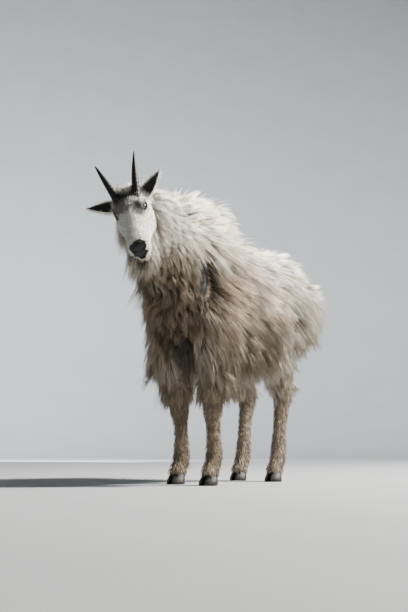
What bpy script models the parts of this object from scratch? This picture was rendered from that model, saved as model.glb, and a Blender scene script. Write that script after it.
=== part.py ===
"""A mountain goat standing square with its head turned and tilted, as a still, life-size model.

Metres, +Z up. The goat faces -Y and its left side is +X. The body is one form in its winter coat,
whose flat locks are fused to it, and thin cuts part it where a person would name its parts.
"""

import math
import random

import bmesh
import bpy
from mathutils import Matrix, Vector
from mathutils.bvhtree import BVHTree

UP = Vector((0, 0, 1))
BACK = Vector((0, 1, 0))
GAP = 0.0003  # between the faces where two nodes meet

# Each section of the body: x, y, z of its middle, half width and half height of the shorn body,
# and the depth of the coat on it. The solid core takes CORE_SHARE of that depth.
CORE_SHARE = 0.45
TRUNK = (
    (0, -0.405, 0.735, 0.044, 0.085, 0.06),
    (0, -0.345, 0.725, 0.076, 0.165, 0.07),
    (0, -0.250, 0.720, 0.108, 0.230, 0.07),
    (0, -0.080, 0.715, 0.138, 0.232, 0.08),
    (0, 0.090, 0.705, 0.160, 0.212, 0.08),
    (0, 0.240, 0.720, 0.155, 0.195, 0.08),
    (0, 0.370, 0.770, 0.140, 0.162, 0.08),
    (0, 0.480, 0.798, 0.112, 0.117, 0.07),
    (0, 0.548, 0.800, 0.050, 0.065, 0.05),
)
HUMP = (
    (0, -0.490, 0.930, 0.035, 0.055, 0.05),
    (0, -0.390, 0.958, 0.046, 0.072, 0.07),
    (0, -0.250, 0.970, 0.050, 0.085, 0.08),
    (0, -0.100, 0.970, 0.048, 0.085, 0.08),
    (0, 0.055, 0.915, 0.038, 0.065, 0.06),
)
NECK = (
    (0, -0.230, 0.800, 0.100, 0.160, 0.07),
    (0, -0.370, 0.870, 0.088, 0.140, 0.07),
    (0.004, -0.480, 0.925, 0.072, 0.110, 0.06),
    (0.012, -0.570, 0.965, 0.058, 0.082, 0.03),
    (0.020, -0.630, 0.980, 0.038, 0.050, 0.02),
)
# Leg sections run down; their half width is across the body and their half height is fore and aft.
FORELEG = (
    (0.090, -0.250, 0.700, 0.060, 0.110, 0.05),
    (0.098, -0.225, 0.560, 0.054, 0.085, 0.06),
    (0.099, -0.215, 0.430, 0.041, 0.051, 0.06),
    (0.094, -0.219, 0.320, 0.034, 0.038, 0.02),
    (0.092, -0.215, 0.275, 0.030, 0.034, 0.010),
    (0.091, -0.211, 0.235, 0.0225, 0.027, 0.008),
    (0.090, -0.210, 0.180, 0.021, 0.026, 0.008),
    (0.090, -0.205, 0.110, 0.026, 0.031, 0.008),
    (0.090, -0.222, 0.068, 0.024, 0.028, 0.008),
    (0.090, -0.236, 0.040, 0.028, 0.034, 0.006),
)
HINDLEG = (
    (0.080, 0.385, 0.790, 0.065, 0.110, 0.06),
    (0.098, 0.330, 0.670, 0.072, 0.114, 0.06),
    (0.100, 0.268, 0.560, 0.060, 0.090, 0.05),
    (0.098, 0.282, 0.455, 0.042, 0.056, 0.04),
    (0.097, 0.322, 0.370, 0.028, 0.043, 0.03),
    (0.096, 0.320, 0.320, 0.025, 0.036, 0.010),
    (0.096, 0.300, 0.220, 0.021, 0.027, 0.008),
    (0.095, 0.287, 0.115, 0.026, 0.032, 0.008),
    (0.095, 0.268, 0.068, 0.024, 0.029, 0.008),
    (0.095, 0.252, 0.040, 0.028, 0.034, 0.006),
)
TAIL = (
    (0, 0.500, 0.850, 0.026, 0.020, 0.01),
    (0, 0.570, 0.862, 0.024, 0.016, 0.03),
    (0, 0.620, 0.845, 0.018, 0.012, 0.03),
    (0, 0.655, 0.812, 0.010, 0.008, 0.02),
)
# How far each foot stands from the places above: outward and back.
FOOT_SHIFT = {
    ("fore", 1): (0.012, -0.020),
    ("fore", -1): (-0.012, 0.030),
    ("hind", 1): (0.004, -0.015),
    ("hind", -1): (0.000, 0.030),
}

# The head, in its own axes: x to its left, y back along the face, z out of the forehead, from the
# point midway between the eyes. Each section: y, half width, top and bottom.
EYES_AT = Vector((0.052, -0.682, 0.953))
HEAD_LEFT = Vector((0.869, 0.380, 0.330))
HEAD_NOSE = Vector((0.520, -0.358, -0.775))
SKULL = (
    (0.130, 0.034, -0.004, -0.075),
    (0.100, 0.050, 0.026, -0.094),
    (0.055, 0.057, 0.040, -0.106),
    (0.010, 0.0585, 0.038, -0.110),
    (-0.030, 0.052, 0.026, -0.102),
    (-0.070, 0.042, 0.011, -0.088),
    (-0.110, 0.0345, 0.000, -0.077),
    (-0.145, 0.0330, -0.007, -0.073),
    (-0.170, 0.0300, -0.014, -0.071),
    (-0.184, 0.0215, -0.025, -0.062),
)
# The middle and the radii of each rounded part of the head: the brow, cheek, wing of the nostril,
# upper lip and foot of the horn, each on both sides, and the chin.
SKULL_SWELLINGS = (
    ((0.043, 0.010, 0.010), (0.019, 0.032, 0.020)),
    ((0.035, 0.030, -0.068), (0.022, 0.050, 0.038)),
    ((0.019, -0.172, -0.030), (0.014, 0.018, 0.017)),
    ((0.017, -0.160, -0.050), (0.018, 0.028, 0.013)),
    ((0.031, 0.058, 0.018), (0.022, 0.026, 0.022)),
    ((0, -0.166, -0.071), (0.021, 0.026, 0.013)),
)
EYE_AT = Vector((0.0420, 0.007, 0.004))
EYE_RADIUS = 0.0150
LID = 0.0034
EYE_FACETS = (10, 7)
LID_OPENING = (0.0118, 0.0088, 0.0120)
LID_DEPTH = 0.004
NOSE_AT = Vector((0, -0.191, -0.027))
NOSE_RADII = Vector((0.0330, 0.0340, 0.0330))
NOSTRIL_AT = Vector((0.0165, -0.1885, -0.0300))
NOSTRIL_RADII = (0.0042, 0.0100, 0.0085)
MOUTH_WIDTH = 0.0032
MOUTH_CORNER = Vector((0.036, -0.108, -0.058))
MOUTH_FRONT = Vector((0.000, -0.190, -0.057))
HORN_ROOT = Vector((0.029, 0.048, 0.012))
HORN_LENGTH = 0.186
HORN_RADIUS = 0.0160
HORN_RINGS = 14
EAR_AT = Vector((0.044, 0.074, -0.002))
EAR_LENGTH = 0.130

# The coat: how far apart the locks stand, how wide one is for that, and how thick for its width,
# how far along it bends, how wide its root is, how deep it starts, how it sways and how its tips spread.
LOCK_SPACING = 0.085
LOCK_WIDTH = 1.34
LOCK_THICKNESS = 0.16
LOCK_BEND = 0.42
LOCK_ROOT = 0.70
LOCK_SUNK = 0.35
LOCK_SWAY = 0.12
LOCK_SPREAD = 0.30
RUFF_SPACING = 0.068
RUFF_CLEAR = 0.006
# The beard's rows on the jaw: where in the head's axes, back and up, and how long.
BEARD_ROWS = ((-0.156, -0.072, 0.085), (-0.122, -0.076, 0.115))
BEARD_WIDTH = 0.034
SEED = 7

BODY_TRIANGLES = 1350
HEAD_TRIANGLES = 900

COLOURS = {
    "coat": ("CFC4AE", 0.85),
    "short_coat": ("D9D3C8", 0.80),
    "horn": ("1C1816", 0.35),
    "hoof": ("26211D", 0.50),
    "nose": ("161414", 0.40),
    "eye": ("2A1A10", 0.10),
}


def clear_scene():
    for thing in list(bpy.data.objects):
        bpy.data.objects.remove(thing)


def material(slot):
    """The slot's finish, made once."""
    if slot in bpy.data.materials:
        return bpy.data.materials[slot]
    code, roughness = COLOURS[slot]
    made = bpy.data.materials.new(slot)
    made.use_nodes = True
    shader = made.node_tree.nodes["Principled BSDF"]
    shades = [int(code[k : k + 2], 16) / 255 for k in (0, 2, 4)]
    linear = [s / 12.92 if s <= 0.04045 else ((s + 0.055) / 1.055) ** 2.4 for s in shades]
    shader.inputs["Base Color"].default_value = (*linear, 1)
    shader.inputs["Roughness"].default_value = roughness
    shader.inputs["Metallic"].default_value = 0.0
    return made


def add_object(name, mesh, slot=None):
    made = bpy.data.objects.new(name, mesh)
    bpy.context.scene.collection.objects.link(made)
    if slot:
        mesh.materials.clear()
        mesh.materials.append(material(slot))
    return made


def mesh_of(bm, name):
    """The bmesh as a mesh with its faces pointing out. The bmesh is freed."""
    bmesh.ops.recalc_face_normals(bm, faces=bm.faces)
    mesh = bpy.data.meshes.new(name)
    bm.to_mesh(mesh)
    bm.free()
    return mesh


def applied(thing):
    """A new mesh with the object's modifiers in it. The object goes."""
    bpy.context.view_layer.update()
    graph = bpy.context.evaluated_depsgraph_get()
    mesh = bpy.data.meshes.new_from_object(thing.evaluated_get(graph))
    bpy.data.objects.remove(thing)
    return mesh


def between(rows, place):
    """The row of numbers at a place along rows, on a smooth curve through them."""
    k = min(int(place), len(rows) - 2)
    t = place - k
    before, here, there, after = (rows[max(0, min(len(rows) - 1, k + step))] for step in (-1, 0, 1, 2))
    return [
        0.5 * (2 * b + (c - a) * t + (2 * a - 5 * b + 4 * c - d) * t**2 + (3 * b - a - 3 * c + d) * t**3)
        for a, b, c, d in zip(before, here, there, after)
    ]


def loft(bm, rows, fore=UP, sides=20, per_row=3, share=CORE_SHARE):
    """A closed tube through the sections, each ring square to the path, with share of the coat on it."""
    count = (len(rows) - 1) * per_row + 1
    spots = [between(rows, k / per_row) for k in range(count)]
    rings = []
    for k, spot in enumerate(spots):
        middle = Vector(spot[:3])
        ahead = Vector(spots[min(k + 1, count - 1)][:3]) - Vector(spots[max(k - 1, 0)][:3])
        across = ahead.normalized().cross(fore).normalized()
        out = across.cross(ahead.normalized())
        wide, high = (max(half, 0.004) + share * spot[5] for half in spot[3:5])
        turns = [2 * math.pi * n / sides for n in range(sides)]
        rings.append(
            [bm.verts.new(middle + across * wide * math.cos(a) + out * high * math.sin(a)) for a in turns]
        )
    for ring, following in zip(rings, rings[1:]):
        for n in range(sides):
            bm.faces.new((ring[n], ring[n - 1], following[n - 1], following[n]))
    bm.faces.new(rings[0])
    bm.faces.new(reversed(rings[-1]))


def ball(bm, middle, radii, turn=Matrix.Identity(3), detail=(16, 10)):
    """An ellipsoid with the given radii, turned about its middle."""
    size = Matrix.Diagonal((*radii, 1))
    place = Matrix.Translation(middle) @ turn.to_4x4() @ size
    bmesh.ops.create_uvsphere(bm, u_segments=detail[0], v_segments=detail[1], radius=1, matrix=place)


def fused(bm, name, voxel, smoothing, triangles):
    """One smooth closed skin over all the overlapping forms in the bmesh."""
    thing = add_object(name, mesh_of(bm, name))
    remesh = thing.modifiers.new("fuse", "REMESH")
    remesh.mode = "VOXEL"
    remesh.voxel_size = voxel
    soften = thing.modifiers.new("soften", "SMOOTH")
    soften.factor = 0.5
    soften.iterations = smoothing
    mesh = applied(thing)
    thing = add_object(name, mesh)
    thin = thing.modifiers.new("thin", "DECIMATE")
    thin.ratio = triangles / (2 * len(mesh.polygons))
    thin.use_collapse_triangulate = True
    return applied(thing)


def is_closed(mesh):
    """Whether two faces meet at every edge."""
    bm = bmesh.new()
    bm.from_mesh(mesh)
    closed = all(edge.is_manifold for edge in bm.edges)
    bm.free()
    return closed


def combined(mesh, pieces, operation="UNION"):
    """The mesh joined with, cut by or kept inside the pieces, which are meshes. EXACT leaves slits
    where some of the head's locks cross its fine skin, and those joins are made with MANIFOLD."""
    group = bpy.data.collections.new("pieces")
    bpy.context.scene.collection.children.link(group)
    for piece in pieces:
        group.objects.link(bpy.data.objects.new("piece", piece))
    for solver in ("EXACT", "MANIFOLD"):
        thing = add_object("joining", mesh)
        boolean = thing.modifiers.new("join", "BOOLEAN")
        boolean.operation = operation
        boolean.solver = solver
        boolean.operand_type = "COLLECTION"
        boolean.collection = group
        result = applied(thing)
        if is_closed(result):
            break
    for piece in list(group.objects):
        bpy.data.objects.remove(piece)
    bpy.data.collections.remove(group)
    return result


def largest_body(mesh):
    """The mesh without its loose scraps, and without the inner walls of any sealed hollow."""
    bm = bmesh.new()
    bm.from_mesh(mesh)
    bmesh.ops.triangulate(bm, faces=bm.faces)
    left = set(bm.faces)
    bodies = []
    while left:
        body, edge = set(), [left.pop()]
        while edge:
            face = edge.pop()
            body.add(face)
            near = {other for side in face.edges for other in side.link_faces} & left
            left -= near
            edge.extend(near)
        volume = sum(f.verts[0].co.dot(f.verts[1].co.cross(f.verts[2].co)) for f in body)
        bodies.append((volume, body))
    best = max(bodies, key=lambda found: found[0])[1]
    bmesh.ops.delete(bm, geom=[f for f in bm.faces if f not in best], context="FACES")
    bm.to_mesh(mesh)
    bm.free()
    return mesh


def beyond(point, outward, size=1.6):
    """A big block from half the gap before a plane on, on the side that outward points to."""
    bm = bmesh.new()
    turn = outward.normalized().to_track_quat("Z", "Y").to_matrix().to_4x4()
    middle = point + outward.normalized() * (size / 2 - GAP / 2)
    bmesh.ops.create_cube(bm, size=size, matrix=Matrix.Translation(middle) @ turn)
    return mesh_of(bm, "block")


def part_off(mesh, planes):
    """What of the mesh lies behind every plane, each a point and the direction in which it cuts away."""
    for point, outward in planes:
        mesh = combined(mesh.copy(), [beyond(Vector(point), Vector(outward))], "DIFFERENCE")
    return largest_body(mesh)


def lock(root, out, lie, end, length, width, tips, rng, thickness=LOCK_THICKNESS):
    """A flat, tapered lock that leaves the body between out and lie, bends over to end and frays
    into a few tips, side by side, of unlike lengths. It grows from an edge sunk under the root."""
    bm = bmesh.new()
    start = (lie + out).normalized()
    across = start.cross(out).normalized()
    ridge = across.cross(start).normalized() * width * thickness
    bend = root + start * length * LOCK_BEND
    sunk = root - start * width * LOCK_SUNK
    base = [bm.verts.new(sunk + across * width * LOCK_ROOT / 2 * side) for side in (-1, 1)]
    edges = [bm.verts.new(bend + across * width * (n / tips - 0.5)) for n in range(tips + 1)]
    tops, ends = [], []
    for n in range(tips):
        spread = (n + 0.5) / tips - 0.5
        tops.append(bm.verts.new(bend + across * width * spread + ridge))
        heading = (end + across * spread * LOCK_SPREAD).normalized()
        reach = length * (1 - LOCK_BEND) * rng.uniform(0.75, 1.15)
        ends.append(bm.verts.new(bend + across * width * spread + heading * reach))
    faces = [(*base, *reversed(edges)), (*base, *reversed(tops))]
    faces += [(base[0], edges[0], tops[0]), (base[1], edges[-1], tops[-1])]
    for n in range(tips):
        corners = (edges[n], edges[n + 1], tops[n])
        faces += [(a, b, ends[n]) for a, b in zip(corners, (*corners[1:], corners[0]))]
    for n in range(tips - 1):
        faces.append((tops[n], tops[n + 1], edges[n + 1]))
    for corners in faces:
        bm.faces.new(corners)
    return mesh_of(bm, "lock")


def shifted_leg(rows, kind, side):
    """A leg's sections on one side, with its foot moved as FOOT_SHIFT says and the rest easing into it."""
    outward, back = FOOT_SHIFT[kind, side]
    shifted = []
    for x, y, z, wide, high, coat in rows:
        ease = max(0.0, min(1.0, (0.60 - z) / 0.30))
        shifted.append((side * (x + outward * ease), y + back * ease, z, wide, high, coat))
    return shifted


LEGS = {
    (kind, side): shifted_leg(rows, kind, side)
    for kind, rows in (("fore", FORELEG), ("hind", HINDLEG))
    for side in (1, -1)
}
SIDE_NAMES = {1: "left", -1: "right"}


def body_form(share, voxel, smoothing, triangles):
    """The whole body behind the head as one skin, with share of the coat's depth on it."""
    bm = bmesh.new()
    for rows in (TRUNK, HUMP, NECK, TAIL):
        loft(bm, rows, share=share)
    for rows in LEGS.values():
        loft(bm, rows, fore=BACK, sides=14, share=share)
    return fused(bm, "body", voxel, smoothing, triangles)


def head_matrix():
    """From the head's own axes to the body's."""
    nose_in_head = Vector((0, -0.985, -0.176))
    left = HEAD_LEFT.normalized()
    nose = (HEAD_NOSE - left * HEAD_NOSE.dot(left)).normalized()
    frame_own = Matrix(((1, 0, 0), nose_in_head, Vector((1, 0, 0)).cross(nose_in_head))).transposed()
    frame_body = Matrix((left, nose, left.cross(nose))).transposed()
    return Matrix.Translation(EYES_AT) @ (frame_body @ frame_own.inverted()).to_4x4()


HEAD = head_matrix()
HEAD_TURN = HEAD.to_3x3()


def head_plane():
    """Where the head ends: a point behind the jaw, and the direction that points on to the neck."""
    behind_jaw = HEAD @ Vector((0, 0.100, -0.085))
    return behind_jaw, Vector((-0.50, 0.85, 0.10))


def smooth_step(low, high, value):
    t = max(0.0, min(1.0, (value - low) / (high - low)))
    return t * t * (3 - 2 * t)


def head_distance(point):
    """How far a point lies behind the plane where the head ends."""
    behind, outward = head_plane()
    return (point - behind).dot(outward.normalized())


def coat_at(point, normal):
    """How a lock grows there: its length, how far it stands off, and the way that its tip lies."""
    x, y, z = point
    side = 1 if x >= 0 else -1
    crest = smooth_step(0.45, 0.90, normal.z) * smooth_step(0.84, 0.94, z)
    on_hump = crest * (1 - smooth_step(0.02, 0.16, y))
    leg = 1 - smooth_step(0.42, 0.56, z)
    buttock = smooth_step(0.30, 0.45, y)
    chest = 1 - smooth_step(-0.40, -0.24, y)
    low_rump = smooth_step(0.38, 0.48, y) * (1 - smooth_step(0.66, 0.80, z))
    length = 0.165 - 0.03 * leg - 0.05 * buttock - 0.02 * on_hump - 0.045 * low_rump - 0.03 * chest
    if z < 0.47:
        length = min(length, max(0.05, (z - (0.325 if y < 0.2 else 0.345)) * 0.95))
    length *= 0.40 + 0.60 * smooth_step(0.02, 0.20, head_distance(point))
    lie = Vector((0.12 * side, 0.62, -0.78))
    lie = lie.lerp(Vector((0, 0.24, -0.97)), max(chest, leg))
    thigh = smooth_step(0.15, 0.30, y) * (1 - smooth_step(0.55, 0.68, z))
    lie = lie.lerp(Vector((0.05 * side, -0.05, -1.00)), thigh)
    lie = lie.lerp(Vector((0.15 * side, 1.00, 0.05)), on_hump)
    lie = lie.lerp(Vector((0.20 * side, 0.95, -0.12)), crest - on_hump)
    flank = smooth_step(0.60, 0.95, abs(normal.x)) * smooth_step(-0.20, -0.05, y) * (1 - buttock) * (1 - leg)
    stand = 0.42 + 0.14 * on_hump - 0.18 * chest + 0.25 * smooth_step(0.4, 0.9, -normal.z) - 0.08 * leg
    stand += 0.32 * flank
    return length, stand, lie.normalized()


def lock_roots(mesh, spacing, wanted, rng):
    """Places spread evenly over the mesh where locks are wanted, each with its normal. Those next
    to the head are chosen first, so that the coat begins right behind it."""
    spots = []
    for face in mesh.polygons:
        a, b, c = (mesh.vertices[n].co for n in face.vertices)
        for _ in range(1 + int(face.area / (spacing * 0.30) ** 2)):
            s, t = rng.random(), rng.random()
            if s + t > 1:
                s, t = 1 - s, 1 - t
            spots.append((a + (b - a) * s + (c - a) * t, face.normal.copy()))
    rng.shuffle(spots)
    spots.sort(key=lambda spot: head_distance(spot[0]) > LOCK_SPACING / 2)
    kept = []
    for point, normal in spots:
        if wanted(point, normal) and all((point - other).length > spacing for other, _ in kept):
            kept.append((point, normal))
    return kept


def grows_locks(point, normal):
    """Long hair covers the body down to the knees and hocks, short of the head. The locks between
    the legs and under the middle of the belly are left out, because the others hide them."""
    lowest = 0.375 if point.y < 0.2 else 0.395
    between_legs = point.z < 0.50 and point.x * normal.x < 0 and abs(normal.x) > 0.4
    under_belly = normal.z < -0.70 and abs(point.x) < 0.10
    near_head = head_distance(point) < 0.006 and point.z > 0.80
    return point.z > lowest and not (near_head or between_legs or under_belly)


def body_locks(core):
    """The long coat's locks over the body, neck, upper legs and tail."""
    rng = random.Random(SEED)
    made = []
    for root, normal in lock_roots(core, LOCK_SPACING, grows_locks, rng):
        length, stand, lie = coat_at(root, normal)
        tangent = lie - normal * lie.dot(normal)
        tangent = tangent.normalized() if tangent.length > 0.05 else lie
        sway = Vector((rng.uniform(-1, 1), rng.uniform(-1, 1), rng.uniform(-1, 1))) * LOCK_SWAY
        end = (lie + sway).normalized()
        length *= rng.uniform(0.88, 1.15)
        width = LOCK_SPACING * LOCK_WIDTH * rng.uniform(0.88, 1.12)
        made.append(lock(root, normal * stand, tangent, end, length, width, rng.choice((2, 2, 3)), rng))
    return made


# Planes that part the body, each a point and a direction across it.
NECK_CUT = ((0, -0.345, 0.86), (0, -0.90, 0.43))
LEG_REACH = {"fore": (-0.50, -0.06), "hind": (0.17, 0.80)}
TAIL_CUT = ((0, 0.575, 0.86), (0, 1, 0.25))
LEG_TOP = {"fore": 0.475, "hind": 0.500}
LEG_CUTS = {"fore": (0.288, 0.098), "hind": (0.300, 0.102)}


def turned(plane):
    point, outward = plane
    return point, tuple(-c for c in outward)


def leg_block(kind, side, inset):
    """The space in which one leg lies below the body, drawn in by inset from where the body's ends."""
    near, far = LEG_REACH[kind]
    corners = ((side * GAP / 2, near, -0.1), (side * 0.5, far, LEG_TOP[kind]))
    low = Vector([min(pair) + inset for pair in zip(*corners)])
    high = Vector([max(pair) - inset for pair in zip(*corners)])
    bm = bmesh.new()
    place = Matrix.Translation((low + high) / 2) @ Matrix.Diagonal((*(high - low), 1))
    bmesh.ops.create_cube(bm, size=1, matrix=place)
    return mesh_of(bm, "block")


def body_nodes(coated):
    """Parts the coated body into its named nodes."""
    away_from_head = head_plane()
    before_head = (away_from_head[0], -away_from_head[1])
    tail_only = part_off(coated, [turned(TAIL_CUT)])
    trunk = part_off(coated, [TAIL_CUT])
    add_object("tail", tail_only, "coat")
    add_object("neck", part_off(trunk, [turned(NECK_CUT), before_head]), "coat")
    torso = part_off(trunk, [NECK_CUT])
    for (kind, side), rows in LEGS.items():
        leg = combined(trunk.copy(), [leg_block(kind, side, GAP)], "INTERSECT")
        torso = combined(torso, [leg_block(kind, side, 0)], "DIFFERENCE")
        high, low = LEG_CUTS[kind]
        name = f"{kind}leg_{SIDE_NAMES[side]}"
        add_object(name, part_off(leg, [((0, 0, high), (0, 0, -1))]), "coat")
        shank = part_off(leg, [((0, 0, high), (0, 0, 1)), ((0, 0, low), (0, 0, -1))])
        add_object(f"{name}_cannon", shank, "short_coat")
        sole = ((0, 0, CORONET_HEIGHT), (0, 0, -1))
        add_object(f"{name}_pastern", part_off(leg, [((0, 0, low), (0, 0, 1)), sole]), "short_coat")
    add_object("torso", largest_body(torso), "coat")


CORONET_HEIGHT = 0.040
HOOF_LENGTH = 0.074
HOOF_WIDTH = 0.033
CLAW_SIDES = 10
CLAW_SPLAY = 0.07
# Up a hoof: the height, the size for that of the sole, and how far back it stands.
HOOF_LEVELS = (
    (0.0, 1.0, 0.0),
    (0.010, 0.99, 0.001),
    (0.026, 0.90, 0.007),
    (CORONET_HEIGHT - GAP, 0.76, 0.013),
)


def hoof_claw(name, toe, side, lean):
    """One toe of a cloven hoof: a flat sole, a rounded outer wall, a flat inner one and a sloped front."""
    bm = bmesh.new()
    rings = []
    for height, size, back in HOOF_LEVELS:
        ring = []
        for n in range(CLAW_SIDES):
            turn = 2 * math.pi * n / CLAW_SIDES
            out = max(0.0, math.cos(turn)) ** 0.8 * HOOF_WIDTH * size
            fore = math.copysign(abs(math.sin(turn)) ** 0.85, math.sin(turn)) * HOOF_LENGTH / 2 * size
            narrow = 1 - 0.35 * smooth_step(0.2, 1.0, fore / HOOF_LENGTH * 2)
            inner = 0.0012 if math.cos(turn) > 0.01 else 0.0008
            ring.append(bm.verts.new((side * (inner + out * narrow), back - fore, height)))
        rings.append(ring)
    for ring, following in zip(rings, rings[1:]):
        for n in range(CLAW_SIDES):
            bm.faces.new((ring[n], ring[n - 1], following[n - 1], following[n]))
    bm.faces.new(rings[0])
    bm.faces.new(rings[-1])
    bmesh.ops.remove_doubles(bm, verts=bm.verts, dist=0.0002)
    heel = (0, HOOF_LENGTH / 2, 0)
    bmesh.ops.rotate(bm, verts=bm.verts, cent=heel, matrix=Matrix.Rotation(side * lean, 3, "Z"))
    bmesh.ops.translate(bm, verts=bm.verts, vec=toe)
    return mesh_of(bm, name)


def dewclaw(name, middle, side):
    """The small blunt claw behind the fetlock."""
    bm = bmesh.new()
    turn = Matrix.Rotation(side * 0.25, 3, "Z") @ Matrix.Rotation(0.6, 3, "X")
    ball(bm, middle, (0.0075, 0.0085, 0.0150), turn, detail=(6, 4))
    return mesh_of(bm, name)


def feet():
    """The two hoof claws and two dewclaws of each leg."""
    for (kind, side), rows in LEGS.items():
        toe = Vector((rows[-1][0], rows[-1][1] - 0.012, 0))
        heel = Vector((rows[-2][0], rows[-2][1] + rows[-2][4] + 0.006, 0.078))
        leg = f"{kind}leg_{SIDE_NAMES[side]}"
        for half in (1, -1):
            place = "outer" if half == side else "inner"
            claw = hoof_claw("claw", toe, half, CLAW_SPLAY)
            add_object(f"{leg}_hoof_{place}", claw, "hoof")
            spur = dewclaw("spur", heel + Vector((half * 0.0125, 0, 0)), half)
            pastern = bpy.data.objects[f"{leg}_pastern"]
            add_object(f"{leg}_dewclaw_{place}", clear_of(spur, [pastern.data]), "hoof")


def skull_form(swell, voxel, smoothing, triangles):
    """The head without ears, eyes or horns, in its own axes."""
    bm = bmesh.new()
    rows = [(0, y, (top + low) / 2, wide, (top - low) / 2, swell) for y, wide, top, low in SKULL]
    loft(bm, rows, sides=24, per_row=4, share=1.0)
    for (x, y, z), radii in SKULL_SWELLINGS:
        for side in (1, -1) if x else (1,):
            ball(bm, Vector((side * x, y, z)), radii)
    return fused(bm, "skull", voxel, smoothing, triangles)


def sphere_mesh(middle, radii, turn=Matrix.Identity(3), detail=(12, 8)):
    bm = bmesh.new()
    ball(bm, middle, radii, turn, detail)
    return mesh_of(bm, "ball")


def tube_mesh(points, radius, sides=4):
    """A round bar of one radius along the points, closed at its ends."""
    bm = bmesh.new()
    rows = [(*p, radius, radius, 0) for p in points]
    loft(bm, rows, sides=sides, per_row=1)
    return mesh_of(bm, "bar")


def mouth_line(skull):
    """Points on the skin from one corner of the mouth round the front to the other."""
    tree = BVHTree.FromPolygons([v.co for v in skull.vertices], [list(f.vertices) for f in skull.polygons])
    points = []
    for n in range(9):
        turn = math.pi * n / 8
        ahead = MOUTH_CORNER.y + (MOUTH_FRONT.y - MOUTH_CORNER.y) * math.sin(turn) * 1.1
        up = MOUTH_CORNER.z + 0.001 * math.cos(2 * turn)
        beside_skin = Vector((MOUTH_CORNER.x * 1.6 * math.cos(turn), ahead, up))
        points.append(tree.find_nearest(beside_skin)[0])
    return points


def eye_axis(side):
    """The way an eye looks, in the head's axes."""
    return Vector((side * 0.80, -0.50, 0.33)).normalized()


def head_nodes(neck_core):
    """The head, lower jaw with its beard, nose, eyes, ears and horns."""
    rng = random.Random(SEED + 1)
    skull = skull_form(0.003, 0.0036, 5, HEAD_TRIANGLES)
    behind, outward = head_plane()
    sockets, eyeballs = [], {}
    for side in (1, -1):
        at = Vector((side * EYE_AT.x, EYE_AT.y, EYE_AT.z))
        look = eye_axis(side)
        turn = look.to_track_quat("Z", "Y").to_matrix()
        skull = combined(skull, [sphere_mesh(at, [EYE_RADIUS + LID] * 3, detail=(12, 8))])
        opening = at + look * (EYE_RADIUS + LID_DEPTH)
        sockets.append(sphere_mesh(opening, LID_OPENING, lid_turn(side), (10, 5)))
        sockets.append(sphere_mesh(at, [EYE_RADIUS + GAP * 1.2] * 3, turn, EYE_FACETS))
        eyeballs[side] = sphere_mesh(at, [EYE_RADIUS] * 3, turn, EYE_FACETS)
    skull = combined(skull, sockets, "DIFFERENCE")
    skull = combined(skull, [tube_mesh(mouth_line(skull), MOUTH_WIDTH / 2)], "DIFFERENCE")
    nostrils = []
    for side in (1, -1):
        slant = Matrix.Rotation(side * 0.55, 3, "Y") @ Matrix.Rotation(0.5, 3, "X")
        at = Vector((side * NOSTRIL_AT.x, NOSTRIL_AT.y, NOSTRIL_AT.z))
        nostrils.append(sphere_mesh(at, NOSTRIL_RADII, slant, (8, 5)))
    skull = combined(skull, nostrils, "DIFFERENCE")
    skull = largest_body(skull)
    pad_room = sphere_mesh(NOSE_AT, NOSE_RADII, detail=(14, 7))
    pad_form = sphere_mesh(NOSE_AT, [radius - GAP for radius in NOSE_RADII], detail=(14, 7))
    nose = largest_body(combined(skull.copy(), [pad_form], "INTERSECT"))
    skull = largest_body(combined(skull, [pad_room], "DIFFERENCE"))
    for mesh in (skull, nose, *eyeballs.values()):
        mesh.transform(HEAD)
    stub = part_off(neck_core, [(behind, outward)])
    ruff = ruff_locks(stub, skull, rng)
    head = combined(skull, [stub])
    head = part_off(head, [(behind, outward)])
    jaw_back = (HEAD @ Vector((0, MOUTH_CORNER.y + 0.004, 0)), HEAD_TURN @ BACK)
    jaw_top = (HEAD @ Vector((0, 0, MOUTH_CORNER.z)), HEAD_TURN @ UP)
    jaw = part_off(head, [jaw_back, jaw_top])
    notch = part_off(jaw_block(), [(point + away * GAP, away) for point, away in (jaw_back, jaw_top)])
    head = largest_body(combined(head, [notch], "DIFFERENCE"))
    jaw = largest_body(combined(jaw, beard_locks(rng)))
    jaw = part_off(jaw, [jaw_back, jaw_top])
    horns = {side: horn(side) for side in (1, -1)}
    ears = {side: ear(side) for side in (1, -1)}
    grows_out = [*horns.values(), *ears.values()]
    fringe = [clear_of(made, grows_out) for made in head_locks(rng) + ruff]
    horns = {side: clear_of(mesh, [head]) for side, mesh in horns.items()}
    ears = {side: clear_of(mesh, [head]) for side, mesh in ears.items()}
    head = part_off(combined(head, fringe), [(behind, outward)])
    head = largest_body(combined(head, [notch.copy()], "DIFFERENCE"))
    add_object("head", head, "short_coat")
    add_object("lower_jaw", jaw, "coat")
    add_object("nose", nose, "nose")
    for side, word in SIDE_NAMES.items():
        add_object(f"eye_{word}", eyeballs[side], "eye")
        add_object(f"horn_{word}", horns[side], "horn")
        add_object(f"ear_{word}", ears[side], "short_coat")


def lid_turn(side):
    """Turns the eye's opening so that its long way runs along the face and dips towards the nose."""
    look = eye_axis(side)
    along = Vector((0, -1, -0.25))
    along = (along - look * along.dot(look)).normalized()
    return Matrix((along, look.cross(along), look)).transposed()


def jaw_block():
    bm = bmesh.new()
    bmesh.ops.create_cube(bm, size=0.5, matrix=HEAD @ Matrix.Translation((0, 0, -0.10)))
    return mesh_of(bm, "block")


def grown(mesh):
    """A copy of the mesh that is larger all round by the gap."""
    copy = mesh.copy()
    for vertex, normal in zip(copy.vertices, [v.normal.copy() for v in mesh.vertices]):
        vertex.co += normal * GAP * 1.4
    return copy


def clear_of(mesh, neighbours):
    """The mesh cut back to leave the gap round its smooth neighbours."""
    return largest_body(combined(mesh, [grown(other) for other in neighbours], "DIFFERENCE"))


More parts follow.
